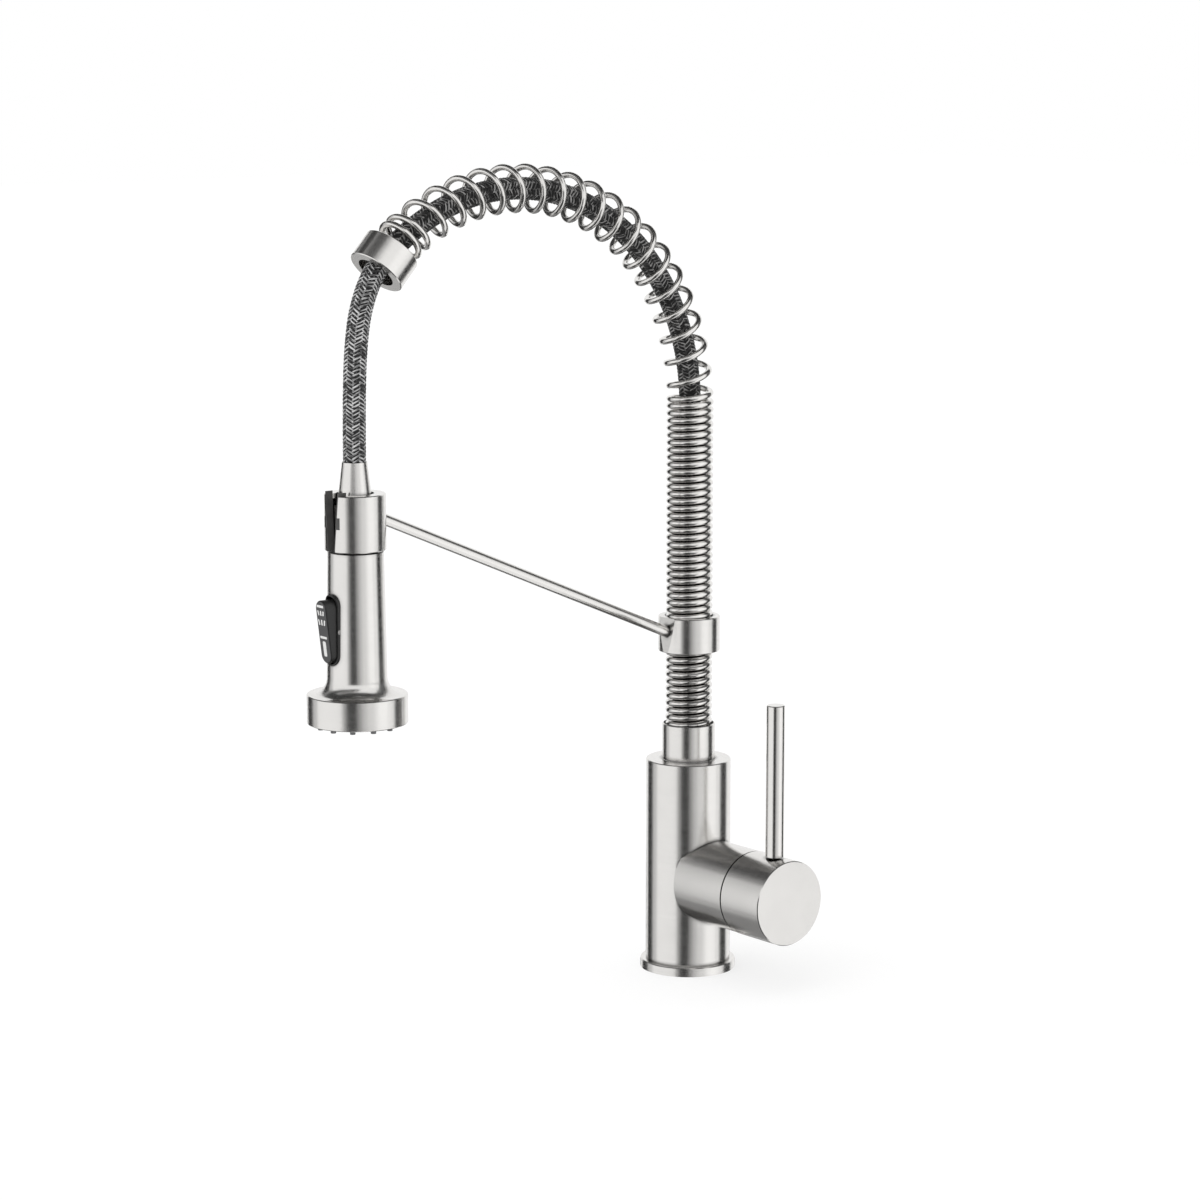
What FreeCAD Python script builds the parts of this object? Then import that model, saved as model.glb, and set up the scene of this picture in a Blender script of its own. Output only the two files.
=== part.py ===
import FreeCAD, Part
import math
import os

import Sketcher
from FreeCAD import Rotation, Vector

doc = FreeCAD.newDocument("Faucet")

# Driving dimensions, in millimetres and degrees. Heights named low, top or height are above the deck.
DRIVING = {
    # general gaps and edges
    "fit_gap": 0.05,
    "running_gap": 0.06,
    "clear_gap": 0.35,
    "edge_break": 0.4,
    # base and body
    "flange_radius": 26.5,
    "flange_height": 5.0,
    "gasket_width": 2.2,
    "gasket_height": 1.4,
    "spigot_wall": 4.0,
    "body_radius": 23.5,
    "body_top": 119.0,
    "socket_radius": 16.0,
    "socket_depth": 16.0,
    # swivel
    "journal_radius": 12.5,
    "bush_wall": 2.44,
    "bush_height": 6.0,
    "bush_spacing": 10.0,
    "snap_chamber_depth": 7.0,
    "snap_ring_width": 2.55,
    "snap_ring_height": 1.4,
    "snap_groove_depth": 1.2,
    "sleeve_rise": 20.0,
    "sleeve_wall": 0.8,
    "spring_seat_depth": 4.0,
    "spring_seat_gap": 0.8,
    "tube_seat_depth": 10.0,
    # side boss and mixing cartridge, along the handle axis
    "handle_height": 52.4,
    "boss_wall": 5.5,
    "boss_rim": 5.2,
    "cartridge_seat": 16.0,
    "cartridge_radius": 17.5,
    "cartridge_base_thickness": 4.0,
    "cartridge_length": 28.0,
    "housing_wall": 1.7,
    "housing_cover": 2.5,
    "port_radius": 2.75,
    "port_circle_radius": 12.0,
    "port_angle": 50.0,
    "outlet_rise": 6.6,
    "inlet_drop": 3.4,
    "seal_width": 1.0,
    "disc_thickness": 4.6,
    "disc_travel_room": 4.6,
    "pivot_setback": 6.0,
    "carrier_flange_thickness": 3.4,
    "carrier_step": 3.0,
    "carrier_neck_overhang": 1.0,
    "pin_radius": 1.5,
    "pin_inset": 1.4,
    "stem_radius": 4.0,
    "stem_setback": 5.7,
    "finger_radius": 2.2,
    "finger_play": 1.2,
    "finger_depth": 2.6,
    "nut_height": 4.5,
    "nut_wall": 3.5,
    "dome_wall": 2.5,
    "dome_skirt_depth": 4.0,
    # handle
    "cap_gap": 1.2,
    "cap_overhang": 0.2,
    "cap_length": 29.8,
    "lever_setback": 12.4,
    "lever_radius": 5.0,
    "lever_length": 84.2,
    "lever_foot_height": 0.6,
    "lever_stud_radius": 2.5,
    "set_screw_radius": 2.0,
    "set_screw_length": 8.0,
    "hex_key_radius": 1.1,
    "hex_key_depth": 2.5,
    # hose, column, arch and spring
    "hose_radius": 6.0,
    "hose_clearance": 1.6,
    "coupling_rise": 2.0,
    "coupling_nipple_length": 8.9,
    "coupling_nipple_radius": 4.5,
    "coupling_sleeve_length": 18.0,
    "coupling_wall": 1.1,
    "tube_clearance": 1.5,
    "tube_wall": 1.3,
    "tube_drop": 7.0,
    "arch_start": 316.5,
    "arch_radius": 121.2,
    "arch_sweep": 129.8,
    "wire_diameter": 3.4,
    "spring_clearance": 0.8,
    "closed_gap": 0.63,
    "closed_turns": 45.5,
    "open_turns": 20.0,
    "end_turns": 1.0,
    "ring_droop": 8.0,
    "ring_lip": 2.2,
    "ring_length": 15.5,
    "ring_mouth_step": 1.0,
    "ring_bush_depth": 6.0,
    "ring_bush_rise": 1.0,
    "ring_bush_play": 1.2,
    "drop_lead": 12.0,
    # support arm and dock
    "reach": 223.6,
    "arm_ring_low": 180.0,
    "arm_ring_height": 19.5,
    "arm_ring_gap": 0.3,
    "arm_ring_wall": 3.7,
    "arm_flat_foot": 0.05,
    "arm_flat_depth": 1.3,
    "arm_radius": 3.0,
    "arm_ring_rise": 5.0,
    "arm_dock_rise": 21.6,
    "arm_socket_depth": 2.1,
    "arm_dock_depth": 1.3,
    "dock_low": 258.0,
    "dock_height": 29.0,
    "dock_wall": 2.45,
    "dock_clearance": 0.4,
    "dock_lip_height": 2.5,
    "dock_lip_gap": 0.7,
    "dock_slot_low_width": 7.4,
    "dock_slot_top_width": 12.2,
    "dock_lug_rise": 12.0,
    "dock_lug_height": 6.0,
    "dock_lug_width": 1.8,
    "liner_wall": 1.85,
    "liner_lip": 1.0,
    "liner_inset": 0.3,
    "liner_rise": 1.6,
    # hose ferrule and spray head
    "ferrule_length": 21.35,
    "ferrule_step": 1.1,
    "ferrule_rim": 0.5,
    "head_spigot_radius": 7.9,
    "head_spigot_bore": 4.0,
    "head_spigot_foot": 1.2,
    "seal_drop": 15.65,
    "seal_thickness": 2.3,
    "clip_width": 2.65,
    "clip_height": 1.4,
    "clip_groove_depth": 1.0,
    "neck_radius": 11.0,
    "neck_gap": 3.2,
    "head_gap": 0.6,
    "head_roof": 1.4,
    "head_wall": 2.1,
    "shoulder_radius": 14.4,
    "grip_length": 74.0,
    "grip_taper": 1.3,
    "disc_height": 15.2,
    "disc_radius": 26.0,
    "flare_radius": 8.5,
    "rim_wall": 2.4,
    "rim_roof": 2.8,
    "valve_length": 14.0,
    "washer_height": 0.7,
    "face_inset": 0.4,
    "face_height": 2.4,
    "mat_thickness": 1.55,
    "nozzle_radius": 1.4,
    "nozzle_overhang": 2.2,
    "nozzle_margin": 3.1,
    "nozzle_turn": 18.0,
    "nozzle_inset": 5.0,
    "nozzle_outer_count": 12,
    "nozzle_inner_count": 8,
    "aerator_radius": 9.0,
    "aerator_wall": 1.6,
    # rocker button
    "rocker_rise": 34.0,
    "rocker_length": 33.0,
    "rocker_width": 9.2,
    "rocker_pivot_rise": 1.9,
    "rocker_back": 2.7,
    "rocker_top_reach": 8.6,
    "rocker_low_reach": 4.4,
    "rocker_pin_radius": 1.2,
    "rocker_fillet": 1.1,
    "rocker_well_room": 5.2,
    "bezel_wall": 0.75,
    "bezel_rise": 0.6,
    "bezel_low_gap": 0.7,
    "bezel_top_gap": 1.6,
    "spool_radius": 2.4,
    "spool_drop": 10.0,
    "spool_length": 9.0,
    "spool_gap": 0.7,
}

sheet = doc.addObject("Spreadsheet::Sheet", "Sizes")
for row, (alias, number) in enumerate(DRIVING.items(), start=1):
    sheet.set(f"A{row}", alias.replace("_", " "))
    sheet.set(f"B{row}", str(number))
    sheet.setAlias(f"B{row}", alias)
doc.recompute()


class Size:
    """A number of the sheet, or one worked out from such numbers, with its formula."""

    def __init__(self, value, formula):
        self.value = value
        self.formula = formula

    def __add__(self, other):
        other = as_size(other)
        return Size(self.value + other.value, f"({self.formula} + {other.formula})")

    def __sub__(self, other):
        other = as_size(other)
        return Size(self.value - other.value, f"({self.formula} - {other.formula})")

    def __mul__(self, factor):
        return Size(self.value * factor, f"({self.formula} * {factor})")

    def __truediv__(self, divisor):
        return Size(self.value / divisor, f"({self.formula} / {divisor})")

    def __neg__(self):
        return Size(-self.value, f"(-{self.formula})")


def as_size(number):
    if isinstance(number, Size):
        return number
    return Size(float(number), repr(float(number)))


def hypotenuse(a, b):
    return Size(math.hypot(a.value, b.value), f"sqrt({a.formula} ^ 2 + {b.formula} ^ 2)")


class Sheet:
    """Gives each alias of the sheet as a Size."""

    def __getattr__(self, alias):
        return Size(float(sheet.get(alias)), f"Sizes.{alias}")


S = Sheet()
nodes = {}


def bind(obj, path, size):
    obj.setExpression(path, as_size(size).formula)


def place(obj, x=0, y=0, z=0, rotation=None):
    if rotation is not None:
        obj.Placement = FreeCAD.Placement(Vector(), rotation)
    for axis, size in zip("xyz", (x, y, z)):
        bind(obj, f"Placement.Base.{axis}", size)
    return obj


def keep(label, obj):
    """Names a finished piece, which becomes a part file of that name."""
    obj.Label = label
    nodes[label] = obj
    return obj


def plane_of(body, role):
    return next(f for f in body.Origin.OriginFeatures if f.Role == role)


def new_sketch(body, role, name, offset=0):
    sketch = body.newObject("Sketcher::SketchObject", name)
    sketch.AttachmentSupport = (plane_of(body, role), [""])
    sketch.MapMode = "FlatFace"
    bind(sketch, "AttachmentOffset.Base.z", offset)
    return sketch


def tie_point(sketch, geometry, end, point):
    """Ties one end or centre of a sketch line to the sizes of its place."""
    for kind, size, zero_axis in (("DistanceX", point[0], -2), ("DistanceY", point[1], -1)):
        size = as_size(size)
        if size.value == 0:
            sketch.addConstraint(Sketcher.Constraint("PointOnObject", geometry, end, zero_axis))
            continue
        index = sketch.addConstraint(Sketcher.Constraint(kind, -1, 1, geometry, end, size.value))
        sketch.setExpression(f"Constraints[{index}]", size.formula)


def draw_outline(sketch, points):
    """A closed outline of straight lines, each corner tied to its sizes."""
    corners = [Vector(as_size(a).value, as_size(b).value, 0) for a, b in points]
    count = len(corners)
    first = sketch.GeometryCount
    for i in range(count):
        sketch.addGeometry(Part.LineSegment(corners[i], corners[(i + 1) % count]))
    for i in range(count):
        sketch.addConstraint(
            Sketcher.Constraint("Coincident", first + i, 2, first + (i + 1) % count, 1)
        )
    for i in range(count):
        tie_point(sketch, first + i, 1, points[i])


def draw_circle(sketch, centre, radius):
    at = Vector(as_size(centre[0]).value, as_size(centre[1]).value, 0)
    index = sketch.addGeometry(Part.Circle(at, Vector(0, 0, 1), as_size(radius).value))
    tie_point(sketch, index, 3, centre)
    bound = sketch.addConstraint(Sketcher.Constraint("Radius", index, as_size(radius).value))
    sketch.setExpression(f"Constraints[{bound}]", as_size(radius).formula)


def turned(name, points, along="Z"):
    """A body turned from a (radius, height) outline about Z, or (length, radius) about X."""
    body = doc.addObject("PartDesign::Body", name)
    sketch = new_sketch(body, "XZ_Plane", name + "_outline")
    draw_outline(sketch, points)
    turn = body.newObject("PartDesign::Revolution", name + "_turn")
    turn.Profile = sketch
    turn.ReferenceAxis = (sketch, ["V_Axis" if along == "Z" else "H_Axis"])
    turn.Angle = 360
    return body


def tube_outline(inner, outer, low, high, bevel=0):
    """The (radius, height) outline of a ring, with its outer rims bevelled if asked."""
    if bevel == 0:
        return [(inner, low), (outer, low), (outer, high), (inner, high)]
    return [
        (inner, low),
        (outer - bevel, low),
        (outer, low + bevel),
        (outer, high - bevel),
        (outer - bevel, high),
        (inner, high),
    ]


def swapped(points):
    return [(b, a) for a, b in points]


def cylinder(name, radius, length, x=0, y=0, z=0, along="Z"):
    rod = doc.addObject("Part::Cylinder", name)
    bind(rod, "Radius", radius)
    bind(rod, "Height", length)
    turns = {
        "Z": Rotation(),
        "X": Rotation(Vector(0, 1, 0), 90),
        "Y": Rotation(Vector(1, 0, 0), -90),
    }
    return place(rod, x, y, z, turns[along])


def block(name, x, y, z):
    """A box between two sizes along each axis."""
    box = doc.addObject("Part::Box", name)
    for side, (low, high) in zip(("Length", "Width", "Height"), (x, y, z)):
        bind(box, side, as_size(high) - low)
    return place(box, x[0], y[0], z[0])


def ball(name, radius, x=0, y=0, z=0):
    sphere = doc.addObject("Part::Sphere", name)
    bind(sphere, "Radius", radius)
    return place(sphere, x, y, z)


def fuse(name, *shapes):
    joined = doc.addObject("Part::MultiFuse", name)
    joined.Shapes = list(shapes)
    return joined


def common(name, *shapes):
    shared = doc.addObject("Part::MultiCommon", name)
    shared.Shapes = list(shapes)
    return shared


def cut(name, base, *tools):
    result = doc.addObject("Part::Cut", name)
    result.Base = base
    result.Tool = tools[0] if len(tools) == 1 else fuse(name + "_tools", *tools)
    return result


def on_handle_axis(obj):
    return place(obj, 0, 0, S.handle_height)


def on_head_axis(obj):
    return place(obj, 0, -S.reach, 0)


def stadium(name, half_width, low, high, near, far):
    """A round-ended block on the front of the spray head, between two depths from its axis."""
    depth = as_size(far) - near
    front = -S.reach - far
    span = block(
        name + "_span",
        (-half_width, half_width),
        (front, front + depth),
        (low + half_width, high - half_width),
    )
    lower_end = cylinder(name + "_lower_end", half_width, depth, 0, front, low + half_width, "Y")
    upper_end = cylinder(name + "_upper_end", half_width, depth, 0, front, high - half_width, "Y")
    return fuse(name, span, lower_end, upper_end)


# Sizes that follow from the driving ones: first the hose and what goes round it, from the inside out
hose_bore_radius = S.hose_radius + S.hose_clearance
tube_inner = S.hose_radius + S.tube_clearance
tube_radius = tube_inner + S.tube_wall
tube_top = S.arch_start - S.tube_drop
spring_radius = tube_radius + S.spring_clearance + S.wire_diameter
closed_pitch = S.wire_diameter + S.closed_gap
ring_radius = spring_radius + S.ring_lip
ring_bush_radius = tube_radius + S.spring_clearance / 2
ring_mouth_radius = ring_bush_radius + S.ring_mouth_step
arm_ring_bore = spring_radius + S.arm_ring_gap
arm_ring_radius = arm_ring_bore + S.arm_ring_wall
coupling_low = S.socket_depth + S.coupling_rise
hose_low = coupling_low + S.coupling_nipple_length + S.coupling_wall
coupling_top = hose_low + S.coupling_sleeve_length

# Base and swivel
spigot_radius = S.socket_radius + S.spigot_wall
gasket_radius = (spigot_radius + S.flange_radius) / 2
bush_inner = S.journal_radius + S.running_gap
bush_radius = bush_inner + S.bush_wall
snap_inner = S.journal_radius - S.snap_groove_depth
snap_ring_radius = snap_inner + S.fit_gap + S.snap_ring_width
snap_chamber_radius = snap_ring_radius + S.clear_gap
spring_seat_radius = spring_radius + S.spring_seat_gap
sleeve_radius = spring_seat_radius + S.sleeve_wall
sleeve_top = S.body_top + S.sleeve_rise

# Cartridge and handle, along the handle axis
cartridge_bore = S.cartridge_radius + S.fit_gap * 2
boss_radius = cartridge_bore + S.boss_wall
disc_seat = S.cartridge_seat + S.cartridge_base_thickness
housing_end = S.cartridge_seat + S.cartridge_length
housing_inner = S.cartridge_radius - S.housing_wall
fixed_disc_end = disc_seat + S.disc_thickness
moving_disc_start = fixed_disc_end + S.running_gap
moving_disc_end = moving_disc_start + S.disc_thickness
moving_disc_radius = housing_inner - S.disc_travel_room
carrier_start = moving_disc_end + S.clear_gap
carrier_end = housing_end + S.carrier_neck_overhang
carrier_flange_end = carrier_start + S.carrier_flange_thickness
carrier_flange_radius = housing_inner - S.clear_gap
carrier_neck_radius = carrier_flange_radius - S.carrier_step
cover_bore = carrier_neck_radius + S.running_gap
tilt_pivot = housing_end - S.pivot_setback
pin_length = (carrier_neck_radius - S.pin_inset) * 2
nut_end = housing_end + S.nut_height
nut_bore_radius = S.cartridge_radius - S.nut_wall
dome_bore_radius = S.cartridge_radius - S.dome_wall
boss_end = nut_end + S.boss_rim
cap_start = boss_end + S.cap_gap
cap_end = cap_start + S.cap_length
cap_radius = boss_radius + S.cap_overhang
cap_crown = S.handle_height + cap_radius
cap_keel = S.handle_height - cap_radius
stem_end = cap_end - S.stem_setback
lever_offset = cap_end - S.lever_setback
lever_foot = cap_crown + S.fit_gap * 2
lever_top = lever_foot + S.lever_length

# Dock, ferrule and spray head, down from the dock
liner_bore_radius = S.neck_radius + S.dock_clearance
dock_bore_radius = liner_bore_radius + S.liner_wall + S.fit_gap
dock_radius = dock_bore_radius + S.dock_wall
dock_top = S.dock_low + S.dock_height
dock_lip_low = dock_top - S.dock_lip_height
neck_top = dock_lip_low - S.neck_gap
neck_bore = S.head_spigot_radius + S.running_gap
ferrule_low = neck_top + S.clear_gap
ferrule_top = ferrule_low + S.ferrule_length
ferrule_low_radius = S.head_spigot_radius + S.ferrule_step
ferrule_top_radius = S.hose_radius + S.ferrule_rim
dock_lip_bore = ferrule_low_radius + S.dock_lip_gap
seal_height = ferrule_low - S.seal_drop
shoulder_height = S.dock_low - S.head_gap
cavity_top = shoulder_height - S.head_roof
cavity_radius = S.shoulder_radius - S.head_wall
clip_top = cavity_top - S.clear_gap
clip_low = clip_top - S.clip_height
spigot_clip_radius = S.head_spigot_radius - S.clip_groove_depth
clip_radius = spigot_clip_radius + S.fit_gap + S.clip_width
head_spigot_low = clip_low - S.head_spigot_foot
insert_top = head_spigot_low - S.clear_gap - S.washer_height
grip_low_radius = S.shoulder_radius + S.grip_taper
disc_top = shoulder_height - S.grip_length
disc_low = disc_top - S.disc_height
rim_inner = S.disc_radius - S.rim_wall
rim_ceiling = disc_top - S.rim_roof
face_low = disc_low + S.face_inset
face_top = face_low + S.face_height
mat_top = face_top + S.mat_thickness
insert_plate_low = mat_top + S.fit_gap
insert_plate_top = rim_ceiling - S.fit_gap
nozzle_low = disc_low - S.nozzle_overhang
nozzle_outer_circle = rim_inner - S.nozzle_margin
nozzle_inner_circle = S.aerator_radius + S.nozzle_inset
rocker_middle = disc_top + S.rocker_rise
rocker_pivot_depth = cavity_radius + S.rocker_pivot_rise
rocker_inner_depth = rocker_pivot_depth - S.rocker_back
rocker_top_depth = rocker_pivot_depth + S.rocker_top_reach
rocker_low_depth = rocker_pivot_depth + S.rocker_low_reach
rocker_well_depth = rocker_inner_depth - S.rocker_well_room
bezel_radius = grip_low_radius + S.bezel_rise

# Base flange, with the groove that holds the deck gasket
flange_bore = spigot_radius + S.fit_gap
gasket_inner = gasket_radius - S.gasket_width / 2
gasket_outer = gasket_radius + S.gasket_width / 2
groove_inner = gasket_inner - S.fit_gap
groove_outer = gasket_outer + S.fit_gap
keep("base_flange", turned("base_flange", [
    (flange_bore, 0),
    (groove_inner, 0),
    (groove_inner, S.gasket_height),
    (groove_outer, S.gasket_height),
    (groove_outer, 0),
    (S.flange_radius, 0),
    (S.flange_radius, S.flange_height - S.edge_break),
    (S.flange_radius - S.edge_break, S.flange_height),
    (flange_bore, S.flange_height),
]))
keep("deck_gasket", turned("deck_gasket", tube_outline(gasket_inner, gasket_outer, 0, S.gasket_height)))

# Body shell: turned column, side boss, hose passage, swivel bore, cartridge bore and waterways
bush_bore = bush_radius + S.fit_gap
upper_bush_low = S.body_top - S.bush_height
lower_bush_top = upper_bush_low - S.bush_spacing
lower_bush_low = lower_bush_top - S.bush_height
chamber_floor = lower_bush_low - S.snap_chamber_depth


def ports():
    """Side, rise and depth of the two inlets and the outlet, from the column and the handle axis."""
    angle = math.radians(S.port_angle.value)
    side = S.port_circle_radius * math.sin(angle)
    depth = S.port_circle_radius * math.cos(angle)
    inlets = [(-side, -S.inlet_drop, depth), (side, -S.inlet_drop, depth)]
    return inlets + [(as_size(0), S.outlet_rise, S.port_circle_radius)]


def body_shell():
    body = doc.addObject("PartDesign::Body", "body_shell")
    outline = new_sketch(body, "XZ_Plane", "column_outline")
    draw_outline(outline, [
        (S.socket_radius, 0),
        (spigot_radius, 0),
        (spigot_radius, S.flange_height),
        (S.body_radius, S.flange_height),
        (S.body_radius, S.body_top - S.edge_break),
        (S.body_radius - S.edge_break, S.body_top),
        (bush_bore, S.body_top),
        (bush_bore, lower_bush_low),
        (snap_chamber_radius, lower_bush_low),
        (snap_chamber_radius, chamber_floor),
        (hose_bore_radius, chamber_floor),
        (hose_bore_radius, S.socket_depth),
        (S.socket_radius, S.socket_depth),
    ])
    column = body.newObject("PartDesign::Revolution", "column")
    column.Profile = outline
    column.ReferenceAxis = (outline, ["V_Axis"])
    column.Angle = 360
    doc.recompute()
    boss_foot = S.cartridge_seat - S.seal_width
    boss_outline = new_sketch(body, "YZ_Plane", "boss_outline", boss_foot)
    draw_circle(boss_outline, (0, S.handle_height), boss_radius)
    boss = body.newObject("PartDesign::Pad", "boss")
    boss.Profile = boss_outline
    bind(boss, "Length", boss_end - boss_foot)
    doc.recompute()
    bore_outline = new_sketch(body, "YZ_Plane", "cartridge_bore_outline", S.cartridge_seat)
    draw_circle(bore_outline, (0, S.handle_height), cartridge_bore)
    bore = body.newObject("PartDesign::Pocket", "cartridge_bore")
    bore.Profile = bore_outline
    bore.Reversed = True
    bind(bore, "Length", boss_end)
    doc.recompute()
    assert bore.Shape.Volume < boss.Shape.Volume, "the cartridge bore cuts nothing"
    tools = []
    for i, (side, rise, depth) in enumerate(ports()):
        height = S.handle_height + rise
        top = height + S.port_radius - S.socket_depth
        tools.append(cylinder(f"riser_port_{i}", S.port_radius, top, depth, side, S.socket_depth))
        run = S.cartridge_seat - depth
        tools.append(cylinder(f"seat_port_{i}", S.port_radius, run, depth, side, height, "X"))
    return cut("body_shell_ported", body, *tools)


keep("body_shell", body_shell())

# Swivel of the spout on the body
shoulder = S.body_top + S.running_gap
journal_low = chamber_floor + S.clear_gap * 4
snap_top = lower_bush_low - S.clear_gap
snap_low = snap_top - S.snap_ring_height
keep("upper_swivel_bush", turned(
    "upper_swivel_bush", tube_outline(bush_inner, bush_radius, upper_bush_low, S.body_top)))
keep("lower_swivel_bush", turned(
    "lower_swivel_bush", tube_outline(bush_inner, bush_radius, lower_bush_low, lower_bush_top)))
spring_seat = sleeve_top - S.spring_seat_depth
tube_seat = spring_seat - S.tube_seat_depth
tube_bore = tube_radius + S.fit_gap
keep("spout_sleeve", turned("spout_sleeve", [
    (hose_bore_radius, journal_low),
    (S.journal_radius, journal_low),
    (S.journal_radius, snap_low - S.fit_gap),
    (snap_inner, snap_low - S.fit_gap),
    (snap_inner, snap_top + S.fit_gap),
    (S.journal_radius, snap_top + S.fit_gap),
    (S.journal_radius, shoulder),
    (sleeve_radius, shoulder),
    (sleeve_radius, sleeve_top - S.edge_break),
    (sleeve_radius - S.edge_break, sleeve_top),
    (spring_seat_radius, sleeve_top),
    (spring_seat_radius, spring_seat),
    (tube_bore, spring_seat),
    (tube_bore, tube_seat),
    (hose_bore_radius, tube_seat),
]))
snap_ring = turned("snap_ring_turned", tube_outline(
    snap_inner + S.fit_gap, snap_ring_radius, snap_low, snap_top))
snap_mouth = block(
    "snap_ring_mouth",
    (-S.snap_ring_height, S.snap_ring_height),
    (0, S.body_radius),
    (snap_low - S.snap_ring_height, snap_top + S.snap_ring_height),
)
keep("snap_ring", cut("snap_ring_cut", snap_ring, snap_mouth))
keep("riser_tube", turned("riser_tube", tube_outline(tube_inner, tube_radius, tube_seat, tube_top)))

# Mixing cartridge, along the handle axis
def port_tools(name, radius, first, last):
    tools = []
    for i, (side, rise, _) in enumerate(ports()):
        height = S.handle_height + rise
        tools.append(cylinder(f"{name}_{i}", radius, last - first, first, side, height, "X"))
    return tools


seal_outer = S.port_radius + S.seal_width
base_disc = cylinder(
    "cartridge_base_disc",
    S.cartridge_radius,
    S.cartridge_base_thickness,
    S.cartridge_seat,
    0,
    S.handle_height,
    "X",
)
seal_end = S.cartridge_seat + S.seal_width
keep("cartridge_base", cut(
    "cartridge_base_ported",
    base_disc,
    *port_tools("base_port", S.port_radius, S.cartridge_seat, disc_seat),
    *port_tools("seal_pocket", seal_outer + S.fit_gap, S.cartridge_seat, seal_end),
))
seal_rings = fuse("seal_rings", *port_tools("seal_ring", seal_outer, S.cartridge_seat, seal_end))
keep("port_seals", cut(
    "port_seals_bored", seal_rings, *port_tools("seal_bore", S.port_radius, S.cartridge_seat, seal_end)))
fixed_blank = cylinder(
    "fixed_disc_blank", housing_inner - S.fit_gap, S.disc_thickness, disc_seat, 0, S.handle_height, "X")
keep("fixed_disc", cut(
    "fixed_disc_ported", fixed_blank, *port_tools("disc_port", S.port_radius, disc_seat, fixed_disc_end)))
keep("cartridge_housing", on_handle_axis(turned("cartridge_housing", swapped([
    (housing_inner, disc_seat),
    (S.cartridge_radius, disc_seat),
    (S.cartridge_radius, housing_end),
    (cover_bore, housing_end),
    (cover_bore, housing_end - S.housing_cover),
    (housing_inner, housing_end - S.housing_cover),
]), "X")))
moving_blank = cylinder(
    "moving_disc_blank", moving_disc_radius, S.disc_thickness, moving_disc_start, 0, S.handle_height, "X")
finger_end = moving_disc_end - S.finger_depth
finger_pocket = cylinder(
    "finger_pocket",
    S.finger_radius + S.finger_play,
    S.finger_depth + S.clear_gap,
    finger_end - S.clear_gap,
    0,
    S.handle_height,
    "X",
)
keep("moving_disc", cut("moving_disc_pocketed", moving_blank, finger_pocket))
carrier_blank = on_handle_axis(turned("carrier_blank", swapped([
    (0, carrier_start),
    (carrier_flange_radius, carrier_start),
    (carrier_flange_radius, carrier_flange_end),
    (carrier_neck_radius, carrier_flange_end),
    (carrier_neck_radius, carrier_end),
    (0, carrier_end),
]), "X"))
half_slot = S.stem_radius + S.clear_gap
carrier_slot = block(
    "carrier_slot",
    (carrier_start, carrier_end),
    (-half_slot, half_slot),
    (S.handle_height - S.stem_radius * 2, S.handle_height + S.stem_radius * 2),
)
pin_bore = cylinder(
    "carrier_pin_bore",
    S.pin_radius + S.fit_gap,
    pin_length,
    tilt_pivot,
    -pin_length / 2,
    S.handle_height,
    "Y",
)
keep("stem_carrier", cut("stem_carrier_cut", carrier_blank, carrier_slot, pin_bore))
keep("stem_pin", cylinder(
    "stem_pin", S.pin_radius, pin_length, tilt_pivot, -pin_length / 2, S.handle_height, "Y"))
stem_blank = on_handle_axis(turned("stem_blank", swapped([
    (0, finger_end),
    (S.finger_radius, finger_end),
    (S.finger_radius, tilt_pivot - S.stem_radius),
    (S.stem_radius, tilt_pivot - S.pin_radius * 1.6),
    (S.stem_radius, stem_end - S.edge_break),
    (S.stem_radius - S.edge_break, stem_end),
    (0, stem_end),
]), "X"))
stem_bore = cylinder(
    "stem_pin_bore",
    S.pin_radius + S.running_gap,
    pin_length,
    tilt_pivot,
    -pin_length / 2,
    S.handle_height,
    "Y",
)
keep("cartridge_stem", cut("cartridge_stem_bored", stem_blank, stem_bore))
nut_outline = tube_outline(nut_bore_radius, S.cartridge_radius, housing_end, nut_end)
keep("cartridge_nut", on_handle_axis(turned("cartridge_nut", swapped(nut_outline), "X")))
dome_radius = hypotenuse(boss_end - tilt_pivot, boss_radius)
dome_top = tilt_pivot + dome_radius
dome_ring = on_handle_axis(turned("dome_ring", swapped([
    (dome_bore_radius, boss_end - S.dome_skirt_depth),
    (S.cartridge_radius, boss_end - S.dome_skirt_depth),
    (S.cartridge_radius, boss_end),
    (boss_radius, boss_end),
    (boss_radius, dome_top),
    (dome_bore_radius, dome_top),
]), "X"))
dome_ball = ball("dome_ball", dome_radius, tilt_pivot, 0, S.handle_height)
keep("dome_cover", common("dome_cover_rounded", dome_ring, dome_ball))

# Handle: round cap over the dome, lever rod and set screw
cap_blank = on_handle_axis(turned("cap_blank", swapped([
    (0, cap_start),
    (cap_radius, cap_start),
    (cap_radius, cap_end - S.edge_break),
    (cap_radius - S.edge_break, cap_end),
    (0, cap_end),
]), "X"))
cap_hollow = ball("cap_hollow", dome_radius + S.clear_gap, tilt_pivot, 0, S.handle_height)
stem_socket = cylinder(
    "stem_socket",
    S.stem_radius + S.fit_gap,
    stem_end - tilt_pivot + S.clear_gap,
    tilt_pivot,
    0,
    S.handle_height,
    "X",
)
stud_end = S.handle_height + S.stem_radius + S.clear_gap
stud_bore = cylinder(
    "stud_bore", S.lever_stud_radius + S.fit_gap, cap_radius, lever_offset, 0, S.handle_height)
screw_end = S.handle_height - S.stem_radius - S.fit_gap
screw_start = screw_end - S.set_screw_length
screw_bore = cylinder(
    "screw_bore", S.set_screw_radius + S.fit_gap, cap_radius, lever_offset, 0, cap_keel)
keep("handle_cap", cut("handle_cap_hollowed", cap_blank, cap_hollow, stem_socket, stud_bore, screw_bore))
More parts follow.
